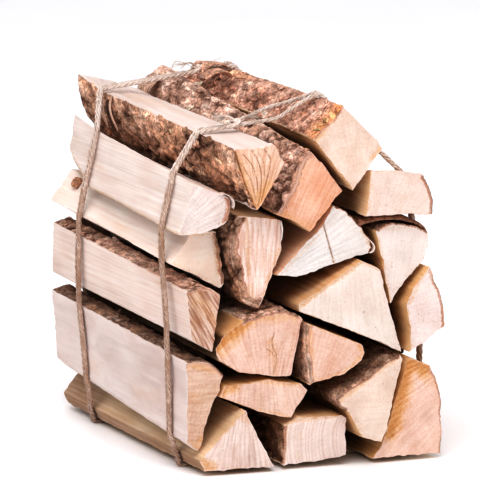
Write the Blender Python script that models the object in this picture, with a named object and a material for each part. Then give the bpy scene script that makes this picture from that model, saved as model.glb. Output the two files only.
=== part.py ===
"""A bundle of twenty split birch logs tied with two bands of jute twine. Metres, +Z up; the logs lie along Y
with their front sawn ends towards -Y. Each log is lofted from its front section to its back section, with its
bark sides domed and rough. Each band is one length of twine that goes twice round the stack and is knotted on
top; the bundle stands on the flat undersides of the four twine runs."""

import bmesh
import bpy
import numpy as np

MM = 0.001
# The part's origin, in the tables below, in mm: the middle of the bottom of the whole bundle's bounding box
MIDDLE = (1.84, -12.59, 0.0)

# Twine
TWINE_RADIUS = 1.5          # mm, a 3 mm jute twine
TWINE_SIDES = 8             # one flat facet faces away from the stack, and the bundle stands on it
WOOD_TO_TWINE = 0.3         # mm, left free between the wood and the twine
TURN_PITCH = 3.6            # mm, from one turn of a band to the next
TURN_SPREAD = 2.2           # mm, how far each turn strays on top of the stack
TOP_STEP = 15.0             # mm, spacing of the points along the runs over the top
# name: (Y on top and on the right, its (Z, Y) down the left side, X of its knot, X and depth of its sag), mm
BANDS = {
    "twine_front": (
        -103.0, [(3, -109), (20, -117), (115, -119), (160, -113), (182, -113), (226, -104), (252, -103)],
        -41.0, -38.0, 5.0),
    "twine_back": (
        97.0, [(3, 76), (20, 67), (70, 71), (125, 78), (182, 76), (232, 80), (257, 98)],
        3.0, 3.0, 0.0),
}
LEFT_SIDE = 85.0            # mm, how far left of the middle a band follows its left-side positions
SAG_ENDS = (-71.0, 24.0)    # mm, X of the corners between which a band can sag
TURN_ROOM = 30.0            # mm, beside the knot, over which the two turns stray apart
KNOT_SIZE = (5.6, 5.8, 3.2)  # mm, half sizes of the knot
KNOT_LIFT = 1.8             # mm, over the twine's centre line
KNOT_LUMPS, KNOT_LUMP = 3, 0.10  # round the knot, and their height as a share of its size
TAIL_LENGTH = 13.0          # mm
TAIL_SWEEP = 4.0            # mm, along the logs
TAIL_LIFTS = (5.0, 3.5)     # mm, of the tail to the left and of the one to the right
TAIL_RADIUS = 1.25          # mm
TAIL_ARC = 2.2              # radians of a sine, over which a tail rises and falls
TAIL_STEPS, TAIL_SIDES = 5, 6
TWINE_COLOUR = (0.55, 0.45, 0.34)

# Logs
REST = 3.3                  # mm, height of the bottom logs over the ground: the twine runs under them
STEP = 13.0                 # mm, spacing of the points round a section
STATIONS = 9                # sections along a log
BARK_DOME, SPLIT_HOLLOW = 0.035, 0.010   # of a side's length
BARK_ROUGH, SPLIT_ROUGH = 1.5, 0.35      # mm, inwards only
CORNER_ROUGH = 0.4          # of that roughness, at a corner
CUT_LEAN = 0.03             # slope of a sawn end, at most

# name: (key sections, sides, colour). A key section is its Y and its corners as (X, Z) in mm, anticlockwise as
# seen from the front; the first and the last are the log's sawn ends. Corners given as (share, dX, dZ) are the
# first section's at that share of their size, moved. sides has one letter for each side, from that corner to
# the next: S split wood, B bark.
LOGS = {
    "log_top_left": ([
        (-176, [(-53, 204), (-46, 211), (-33, 233), (-29, 239), (-39, 254), (-51, 252), (-71, 252),
                (-64, 227)]),
        (100, [(-59, 214), (-46, 213), (-33, 230), (-27, 240), (-31, 251), (-50, 256), (-76, 258),
               (-74, 236)]),
        (150, [(-60, 217), (-46, 215), (-32, 229), (-26, 241), (-28, 251), (-50, 259), (-78, 265),
               (-75, 240)]),
        ], "SSSSSSBB", (0.62, 0.44, 0.32)),
    "log_top_middle": ([
        (-150, [(-28, 196), (-12, 190), (1, 180.5), (18, 201), (28, 211), (10, 234), (1, 243), (-6, 240),
                (-15, 218)]),
        (150, [(-22, 204), (-12, 191), (0, 183), (16, 203), (26, 214), (12, 240), (6, 262), (-7, 269),
               (-19, 259)]),
        ], "SSSSSSBBB", (0.50, 0.38, 0.31)),
    "log_top_right": ([
        (-156, [(33, 211), (50, 234), (57, 242), (52, 250), (24, 278), (17, 268), (0, 252.5)]),
        (150, [(41, 216), (54, 236), (58, 244), (52, 252), (34, 270), (20, 270), (10, 252)]),
        ], "SSSSBBS", (0.55, 0.37, 0.29)),
    "log_left_upper": ([
        (-148, [(-105, 184), (-87, 184), (-72, 188), (-65, 193), (-62, 203), (-65, 212), (-93, 223)]),
        (75, [(-97, 187), (-82, 195), (-72, 196), (-65, 199), (-62, 207), (-66, 216), (-86, 230)]),
        (146, [(-87, 206), (-79, 200), (-72, 200), (-65, 203), (-62, 210), (-66, 218), (-82, 234)]),
        ], "SSSBBSS", (0.90, 0.80, 0.70)),
    "log_left_wedge": ([
        (-128, [(-104, 159), (-64, 138), (-60, 142), (-62, 154), (-67, 182.5), (-88, 182.5)]),
        (150, [(-101, 166), (-66, 143), (-62, 147), (-63, 160), (-68, 188), (-83, 190)]),
        ], "SSBBSS", (0.92, 0.79, 0.67)),
    "log_left_middle": ([
        (-152, [(-96, 104), (-79, 94), (-72, 138), (-86, 146), (-100, 142)]),
        (145, [(-102, 109), (-81, 99), (-72, 142), (-87, 153), (-101, 149)]),
        ], "SSBBS", (0.88, 0.76, 0.66)),
    "log_left_lower": ([
        (-150, [(-99, 25), (-90, 17.5), (-86, 23), (-82, 44), (-72, 65), (-69, 77), (-84, 88.5),
                (-100, 88)]),
        (143, [(-99, 41), (-91, 34), (-86, 37), (-82, 52), (-73, 71), (-70, 84), (-88, 99.5), (-103, 95)]),
        ], "SSSSSBBS", (0.87, 0.74, 0.64)),
    "log_base_left": ([
        (-156, [(-88, REST), (-30, REST), (-54, 49.5), (-84, 20.5), (-92, 13)]),
        (140, [(-90, REST), (-33, REST), (-56, 49), (-83, 27), (-95, 13)]),
        ], "SSSSS", (0.83, 0.66, 0.45)),
    "log_upright_wedge": ([
        (-142, [(-38, 123), (-33, 133), (-28, 146), (-19, 166), (-20, 190), (-24, 192), (-56, 196),
                (-60, 190), (-62, 172), (-58, 152), (-53, 131)]),
        (150, [(-37, 126), (-32, 137), (-28, 148), (-22, 165), (-22, 190), (-27, 199), (-53, 211),
               (-58, 199), (-60, 176), (-57, 156), (-52, 135)]),
        ], "SSSSSSBBBBS", (0.60, 0.42, 0.30)),
    "log_fan_wedge": ([
        (-144, [(-25, 148), (-7, 146), (6, 149), (23, 154), (51, 161), (54, 165), (45, 181), (34, 193),
                (22, 199), (14, 187)]),
        (140, (0.96, 0, 1)),
        ], "SSSSBBBBSS", (0.94, 0.86, 0.78)),
    "log_right_shoulder": ([
        (-156, [(43, 191), (98, 189.5), (99, 202), (95, 212), (90, 221), (72, 225), (47.5, 227)]),
        (-52, [(44, 191), (98, 190), (99, 198), (96, 203), (90, 205), (72, 206), (50, 208)]),
        (146, [(45, 192.5), (95, 192), (97, 198), (94, 203), (88, 206), (72, 208), (52, 210)]),
        ], "SBBBSSS", (0.92, 0.78, 0.60)),
    "log_right_upper": ([
        (-148, [(67, 121), (77, 136), (94, 153.5), (99, 168), (97, 176), (82, 182), (65, 183.5),
                (54, 178.5)]),
        (150, [(67, 123), (78, 138), (94, 156), (98, 172), (95, 181), (82, 188), (66, 190), (55, 183)]),
        ], "SSSSBBBS", (0.58, 0.42, 0.32)),
    "log_right_middle": ([
        (-156, [(79.5, 84), (100, 97), (108, 102), (108, 118), (102, 136), (96, 150), (82, 134),
                (76, 120), (80, 104)]),
        (144, (0.97, 0, -1)),
        ], "SSBBBSSSS", (0.93, 0.80, 0.60)),
    "log_centre_large": ([
        (-150, [(-8, 120), (76, 83.5), (58, 149), (42, 157.5), (-9, 126)]),
        (148, (0.97, 0, 0)),
        ], "SSSSS", (0.93, 0.80, 0.66)),
    "log_centre_left": ([
        (-152, [(-75, 88), (-57, 77), (-27, 71.5), (-15, 71.5), (-6, 115), (-9, 119), (-20, 123.5),
                (-38, 122), (-55, 117), (-71, 106), (-77.4, 97)]),
        (150, (0.96, 0, 0)),
        ], "SSSSSBBBSSS", (0.85, 0.66, 0.50)),
    "log_centre_right": ([
        (-152, [(-2, 64), (28, 70), (42, 80), (45, 85), (43, 92), (-5, 113.5)]),
        (144, [(-2, 66), (28, 71), (42, 81), (45, 87), (43, 95.5), (-5, 116)]),
        ], "SSSSSB", (0.90, 0.72, 0.55)),
    "log_lower_slab": ([
        (-150, [(-73, 59), (-42, 46), (-15, 38.6), (-1, 60), (-6, 65), (-32, 70), (-68, 68)]),
        (147, (0.97, 0, 0)),
        ], "SSSSSSS", (0.92, 0.74, 0.56)),
    "log_base_middle": ([
        (-152, [(-23, REST), (8, REST + 1), (30, 7), (30, 36.5), (26, 39), (-9, 40), (-21, 34)]),
        (146, [(-22, REST), (8, REST), (28, REST + 2), (29, 35), (25, 37.5), (-9, 39), (-20, 33)]),
        ], "SSSSSSB", (0.91, 0.74, 0.58)),
    "log_right_lower": ([
        (-158, [(39, 22), (56.5, 16), (60.5, 27), (74, 80), (71, 84), (45, 68.5), (18, 53), (21, 47),
                (28, 42.5)]),
        (148, [(39, 23), (56, 17), (60, 28), (73, 79), (70, 84), (44, 75), (19, 58), (22, 49), (28, 43)]),
        ], "SSSSBBBSS", (0.50, 0.37, 0.28)),
    "log_base_right": ([
        (-152, [(50, REST), (107, REST), (108, 32), (106, 57), (98, 72), (80, 81), (57, 13)]),
        (150, [(52, REST), (105, REST), (106, 32), (104, 56), (96, 71), (80, 79.5), (58, 13)]),
        ], "SBBBSSS", (0.90, 0.72, 0.52)),
}


# Logs, from their sections to their surfaces

def key_sections(name):
    """A log's key sections: their Y, and their corners as an array (section, corner, XZ)."""
    keys = LOGS[name][0]
    first = np.array(keys[0][1], float)
    middle = first.mean(axis=0)
    corners = [first]
    for _, given in keys[1:]:
        if isinstance(given, tuple):
            share, dx, dz = given
            given = middle + (first - middle) * share + (dx, dz)
        corners.append(np.array(given, float))
    return [y for y, _ in keys], np.array(corners)


def outline_plan(front, sides):
    """For each point round a section: the corner it follows, its share of the way to the next, and if it is bark."""
    plan = []
    for i, kind in enumerate(sides):
        length = np.linalg.norm(np.subtract(front[(i + 1) % len(front)], front[i]))
        count = max(1, round(length / STEP))
        plan += [(i, j / count, kind == "B") for j in range(count)]
    return plan


def section(corners, plan, rng):
    """One section in mm: straight sides made domed or hollow, then roughened inwards."""
    index = np.array([p[0] for p in plan])
    share = np.array([p[1] for p in plan])[:, None]
    bark = np.array([p[2] for p in plan])[:, None]
    start, end = corners[index], corners[(index + 1) % len(corners)]
    side = end - start
    length = np.linalg.norm(side, axis=1, keepdims=True)
    outward = np.stack([side[:, 1], -side[:, 0]], axis=1) / length
    height = np.where(bark, BARK_DOME, -SPLIT_HOLLOW) * length * 4 * share * (1 - share)
    rough = np.where(bark, BARK_ROUGH, SPLIT_ROUGH) * rng.random((len(plan), 1))
    rough = rough * np.where(share == 0, CORNER_ROUGH, 1.0)
    return start + side * share + outward * (height - rough)


def log_sections(name):
    """All the sections of a log as an array (station, point, XYZ) in mm."""
    key_y, key_corners = key_sections(name)
    rng = np.random.default_rng(100 + list(LOGS).index(name))
    plan = outline_plan(key_corners[0], LOGS[name][1])
    lean = rng.uniform(-CUT_LEAN, CUT_LEAN, (2, 2))
    rings = []
    for share in np.linspace(0, 1, STATIONS):
        y = key_y[0] + (key_y[-1] - key_y[0]) * share
        after = min(int(np.searchsorted(key_y, y)) or 1, len(key_y) - 1)
        between = (y - key_y[after - 1]) / (key_y[after] - key_y[after - 1])
        corners = key_corners[after - 1] + (key_corners[after] - key_corners[after - 1]) * between
        ring = section(corners, plan, rng)
        ring[:, 1] = np.maximum(ring[:, 1], REST)
        offset = ring - ring.mean(axis=0)
        leaning = y + offset @ (lean[0] * (1 - share) + lean[1] * share)
        rings.append(np.stack([ring[:, 0], leaning, ring[:, 1]], axis=1))
    return np.array(rings)


def grid_faces(rows, around, first=0):
    """Outward quads between rings of points, and the two end faces."""
    faces = []
    for i in range(rows - 1):
        for j in range(around):
            k = (j + 1) % around
            faces.append([first + i * around + j, first + (i + 1) * around + j,
                          first + (i + 1) * around + k, first + i * around + k])
    faces.append([first + j for j in range(around)])
    faces.append([first + (rows - 1) * around + j for j in reversed(range(around))])
    return faces


# Twine, from the stack's outline to its path

def convex_hull(points):
    """Corners of the convex hull of 2D points, anticlockwise."""
    points = sorted({tuple(p) for p in np.round(points, 3).tolist()})
    def turn(a, b, c):
        return (b[0] - a[0]) * (c[1] - b[1]) - (b[1] - a[1]) * (c[0] - b[0])
    def half(run):
        chain = []
        for p in run:
            while len(chain) > 1 and turn(chain[-2], chain[-1], p) <= 0:
                chain.pop()
            chain.append(p)
        return chain[:-1]
    return np.array(half(points) + half(points[::-1]))


def stack_corners(sections, y):
    """Where the plane at y cuts the logs' edges, as 2D points (X, Z)."""
    found = []
    for rings in sections.values():
        for a, b in zip(rings[:-1], rings[1:]):
            t = (y - a[:, 1]) / (b[:, 1] - a[:, 1])
            cut = a + (b - a) * t[:, None]
            found += [cut[i, [0, 2]] for i in np.nonzero((t >= 0) & (t <= 1))[0]]
    return np.array(found)


def loop_round(hull, gap):
    """A closed path at this distance outside a hull: points and outward directions, rounded at each corner."""
    path, normals = [], []
    side = np.roll(hull, -1, axis=0) - hull
    out = np.stack([side[:, 1], -side[:, 0]], axis=1) / np.linalg.norm(side, axis=1, keepdims=True)
    for i, corner in enumerate(hull):
        before, after = out[i - 1], out[i]
        turn = np.arccos(np.clip(before @ after, -1, 1))
        for share in np.linspace(0, 1, 2 + int(turn > np.radians(25))):
            direction = before * (1 - share) + after * share
            direction = direction / np.linalg.norm(direction)
            path.append(corner + direction * gap / max(before @ direction, 0.9))
            normals.append(direction)
    return np.array(path), np.array(normals)


def spaced(path, normals):
    """The path with points added on its long runs over the top."""
    points, faced = [], []
    for i in range(len(path)):
        a, b = path[i], path[(i + 1) % len(path)]
        count = max(1, round(np.linalg.norm(b - a) / TOP_STEP)) if normals[i, 1] > 0.3 else 1
        points += [a + (b - a) * j / count for j in range(count)]
        faced += [normals[i]] * count
    return np.array(points), np.array(faced)


def twice_round(path, normals, band):
    """The band's centre line and its outward directions. Its two turns meet at the knot, and stray apart beside it."""
    y_band, left_side, knot_x, sag_x, sag = band
    first = max(i for i in range(len(path)) if normals[i, 1] > 0.5 and path[i, 0] > knot_x)
    share = (knot_x - path[first, 0]) / (path[(first + 1) % len(path), 0] - path[first, 0])
    start = path[first] + (path[(first + 1) % len(path)] - path[first]) * share
    order = [(first + 1 + n) % len(path) for n in range(len(path))]
    line = np.vstack([start, path[order], start, path[order], start])
    faced = np.vstack([normals[first], normals[order], normals[first], normals[order], normals[first]])
    run = np.concatenate([[0], np.cumsum(np.linalg.norm(np.diff(line, axis=0), axis=1))])
    turns = 2 * run / run[-1]
    on_top = np.clip(faced[:, 1], 0, 1)
    apart = on_top * np.clip(np.abs(line[:, 0] - knot_x) / TURN_ROOM, 0, 1) * TURN_SPREAD
    leftness = np.clip(-line[:, 0] / LEFT_SIDE, 0, 1)
    y = y_band + (np.interp(line[:, 1], *np.transpose(left_side)) - y_band) * leftness
    y += (turns - 1) * TURN_PITCH + apart * np.where(turns < 1, -1, 1)
    drop = np.interp(line[:, 0], (SAG_ENDS[0], sag_x, SAG_ENDS[1]), (0, sag, 0)) * (on_top > 0)
    centres = np.stack([line[:, 0], y, line[:, 1] - drop], axis=1)
    return centres, np.stack([faced[:, 0], 0 * y, faced[:, 1]], axis=1)


def tube(centres, facing, radius, sides):
    """Points and faces of a tube: one flat facet looks along facing."""
    ahead = np.gradient(centres, axis=0)
    ahead /= np.linalg.norm(ahead, axis=1, keepdims=True)
    facing = facing - ahead * (facing * ahead).sum(axis=1, keepdims=True)
    facing /= np.linalg.norm(facing, axis=1, keepdims=True)
    across = np.cross(facing, ahead)
    angle = (np.arange(sides) + 0.5) * 2 * np.pi / sides
    reach = radius / np.cos(np.pi / sides)
    rings = (centres[:, None] + reach * (np.cos(angle)[None, :, None] * facing[:, None]
                                         + np.sin(angle)[None, :, None] * across[:, None]))
    return rings.reshape(-1, 3), grid_faces(len(centres), sides)


# Objects in the scene

def clear_scene():
    for obj in list(bpy.data.objects):
        bpy.data.objects.remove(obj, do_unlink=True)


def material(name, colour, roughness):
    made = bpy.data.materials.new(name)
    made.use_nodes = True
    shader = made.node_tree.nodes["Principled BSDF"]
    shader.inputs["Base Color"].default_value = (*colour, 1)
    shader.inputs["Roughness"].default_value = roughness
    made.diffuse_color = (*colour, 1)
    return made


def add_object(name, points, faces, collection, colour=None):
    """A mesh object from points in mm, moved so that the origin is at MIDDLE."""
    mesh = bpy.data.meshes.new(name)
    mesh.from_pydata(((np.asarray(points) - MIDDLE) * MM).tolist(), [], faces)
    mesh.validate()
    obj = bpy.data.objects.new(name, mesh)
    collection.objects.link(obj)
    if colour:
        mesh.materials.append(material(name, colour, 0.8))
    return obj


def united(name, bodies, collection, colour):
    """One object from overlapping bodies, by Boolean union; the bodies are removed."""
    first, rest = bodies[0], bodies[1:]
    for n, body in enumerate(rest):
        join = first.modifiers.new(f"join_{n}", "BOOLEAN")
        join.operation, join.solver, join.object = "UNION", "EXACT", body
    bpy.context.view_layer.update()
    graph = bpy.context.evaluated_depsgraph_get()
    mesh = bpy.data.meshes.new_from_object(first.evaluated_get(graph))
    for body in bodies:
        bpy.data.objects.remove(body, do_unlink=True)
    mesh.name = name
    mesh.materials.clear()
    mesh.materials.append(material(name, colour, 0.95))
    obj = bpy.data.objects.new(name, mesh)
    collection.objects.link(obj)
    return obj


def knot_body(centre, collection, name):
    """The knot: a ball with lumps round it, flattened onto the band."""
    shape = bmesh.new()
    bmesh.ops.create_uvsphere(shape, u_segments=12, v_segments=8, radius=1)
    points = np.array([v.co[:] for v in shape.verts])
    faces = [[v.index for v in face.verts] for face in shape.faces]
    shape.free()
    turn = np.arctan2(points[:, 1], points[:, 0])
    lumps = 1 + KNOT_LUMP * np.cos(KNOT_LUMPS * turn) * np.hypot(points[:, 0], points[:, 1])
    return add_object(name, points * lumps[:, None] * KNOT_SIZE + centre, faces, collection)


def add_band(name, sections, collection):
    wander = {BANDS[name][0], *(y for _, y in BANDS[name][1])}
    cuts = [stack_corners(sections, y + d) for y in sorted(wander) for d in (-TURN_PITCH, TURN_PITCH)]
    path, normals = spaced(*loop_round(convex_hull(np.vstack(cuts)), WOOD_TO_TWINE + TWINE_RADIUS))
    centres, facing = twice_round(path, normals, BANDS[name])
    centres[:, 2] = np.where(centres[:, 2] < REST, TWINE_RADIUS, centres[:, 2])
    turns = tube(centres, facing, TWINE_RADIUS, TWINE_SIDES)
    bodies = [add_object(name + "_turns", *turns, collection)]
    knot = centres[0] + (0, TURN_PITCH, KNOT_LIFT)
    bodies.append(knot_body(knot, collection, name + "_knot"))
    for way, lift in zip((-1, 1), TAIL_LIFTS):
        share = np.linspace(0, 1, TAIL_STEPS)[:, None]
        rise = np.sin(share * TAIL_ARC) * lift
        tail = knot + share * (way * TAIL_LENGTH, way * TAIL_SWEEP, 0) + rise * (0, 0, 1)
        up = np.tile((0.0, 0.0, 1.0), (len(tail), 1))
        bodies.append(add_object(f"{name}_tail_{way}", *tube(tail, up, TAIL_RADIUS, TAIL_SIDES), collection))
    return united(name, bodies, collection, TWINE_COLOUR)


def main():
    clear_scene()
    bundle = bpy.data.collections.new("firewood_bundle")
    bpy.context.scene.collection.children.link(bundle)
    sections = {name: log_sections(name) for name in LOGS}
    for name, rings in sections.items():
        add_object(name, rings.reshape(-1, 3), grid_faces(*rings.shape[:2]), bundle, LOGS[name][-1])
    for name in BANDS:
        add_band(name, sections, bundle)


main()
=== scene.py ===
"""The looks of a bundle of split birch logs tied with jute twine: bark, split wood, sawn ends and twisted
strands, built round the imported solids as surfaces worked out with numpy. Tables are in mm, in the stack's
own axes: X to the right across the front ends, Y along the logs from the front, Z up. MIDDLE is where the
frame's origin lies in them."""

from itertools import product
from typing import NamedTuple

import bpy
import numpy as np
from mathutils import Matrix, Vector


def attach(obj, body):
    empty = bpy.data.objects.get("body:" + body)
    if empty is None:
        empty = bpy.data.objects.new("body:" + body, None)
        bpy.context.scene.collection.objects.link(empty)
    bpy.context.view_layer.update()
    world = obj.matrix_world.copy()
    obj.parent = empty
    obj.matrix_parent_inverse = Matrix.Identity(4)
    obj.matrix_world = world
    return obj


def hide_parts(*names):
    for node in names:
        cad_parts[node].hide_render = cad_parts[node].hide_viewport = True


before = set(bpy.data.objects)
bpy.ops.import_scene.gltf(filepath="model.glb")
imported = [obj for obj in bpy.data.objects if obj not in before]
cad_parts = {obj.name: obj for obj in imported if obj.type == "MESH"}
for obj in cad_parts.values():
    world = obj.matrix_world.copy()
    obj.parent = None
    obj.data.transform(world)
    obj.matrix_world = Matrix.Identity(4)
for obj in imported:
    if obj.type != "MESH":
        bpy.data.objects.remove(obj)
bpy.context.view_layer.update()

bl_info = {
    "name": "Birch firewood bundle",
    "version": (1, 0, 0),
    "blender": (4, 5, 0),
    "location": "3D View > Sidebar > Firewood",
    "description": "Bark, split wood, sawn ends and jute twine for a tied bundle of birch logs",
    "category": "Add Mesh",
}

MM = 0.001
MIDDLE = np.array([1.84, -12.59, 0.0])
ALONG_LOGS = np.array([0.0, 1.0, 0.0])
FAR = 99.0                            # mm, farther than any distance that matters on a sawn end


# Colours

def linear(red, green, blue):
    """Linear light of a colour given in screen values from 0 to 255."""
    value = np.array([red, green, blue]) / 255
    return tuple(np.where(value <= 0.04045, value / 12.92, ((value + 0.055) / 1.055) ** 2.4).tolist())


VIEW_GAMMA = 0.67    # under 1: the picture's contrast, with dark and golden gaps between the logs
STAGE_LIGHT = 1.12   # how bright a white face is on this stage
DARKEST, BRIGHTEST, BRIGHTEST_END, BRIGHTEST_FLAKE = 0.004, 0.9, 0.92, 0.85   # of a surface's colour


def surface(colour):
    """The surface colour that looks like this screen colour, with the stage's light and contrast undone."""
    return np.clip(np.array(linear(*colour)) ** VIEW_GAMMA / STAGE_LIGHT, DARKEST, BRIGHTEST)


BARKS = {
    # name: (crevices, dark, middle, plate tops, patches of inner bark)
    "brown": ((56, 30, 18), (130, 88, 66), (182, 138, 114), (228, 196, 176), (200, 142, 108)),
    "grey": ((76, 48, 36), (146, 104, 86), (204, 164, 146), (248, 224, 212), (200, 150, 124)),
    "red": ((74, 38, 24), (150, 100, 80), (208, 158, 136), (246, 218, 208), (226, 158, 120)),
    "pale": ((110, 70, 50), (176, 130, 108), (214, 170, 148), (244, 214, 198), (216, 158, 122)),
}
INNER_BARK = (200, 152, 130)
PAINTED_GAP_GLOW = (226, 172, 112)      # painted glow of warm light bounced between the logs, on split sides in the gaps
WEATHERED = (178, 140, 112)   # split sides gone brown outdoors
HONEY = (234, 198, 160)       # split sides on the outside, near the ground
PAINTED_GAP_SHADE = (120, 80, 50)          # painted shade on split sides deep in the gaps
STAIN = (216, 154, 90)        # where wood is torn or wet
# Crack colours: the dark middle of a crack is partly the wood's own colour and partly painted shade in the
# crack.
CRACK = (52, 26, 14)
THIN_CRACK = (184, 122, 74)
RAW_BARK = (214, 146, 88)     # bark torn open by the saw
DOT = (150, 100, 70)          # fine dots in the sawn ends
END_LIGHT = 0.885             # how bright the sawn ends are beside the split sides


# The stack

class Log(NamedTuple):
    """One log: its sections and sides as they are stacked, and what its wood looks like."""
    sections: list    # (Y, corners (X, Z) anticlockwise), or (Y, (share, dX, dZ)) of the first section
    sides: str        # a letter for each side, from its corner to the next: see SIDES
    pith: tuple       # (X, Z) in the front end of the tree's middle, which the rings and rays go round
    end: tuple        # screen colour of the sawn ends
    split: tuple      # screen colour of the split sides
    bark: str = "brown"
    rays: float = 0.3       # how strongly rays show in the ends
    rings: float = 0.15     # how strongly rings show in the ends
    rim: tuple = (1.0, 1.2)    # mm of bark and of inner bark that the ends show
    fibrous: float = 0.2    # how torn the ends are
    orange: float = 0.0     # mm of orange bark beside the front end
    stains: tuple = ()      # (X, Z, X, Z, radius, strength): stretches of the front end that are brown
    cracks: tuple = ()      # (half width, strength, (X, Z), (X, Z), ...) in the front end
    bark_light: float = 1.0    # how bright its bark is beside others of its kind
    weathered: float = 0.0     # how brown its sides are towards the back
    end_light: float = 1.0     # how bright its sawn ends are beside the others


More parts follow.
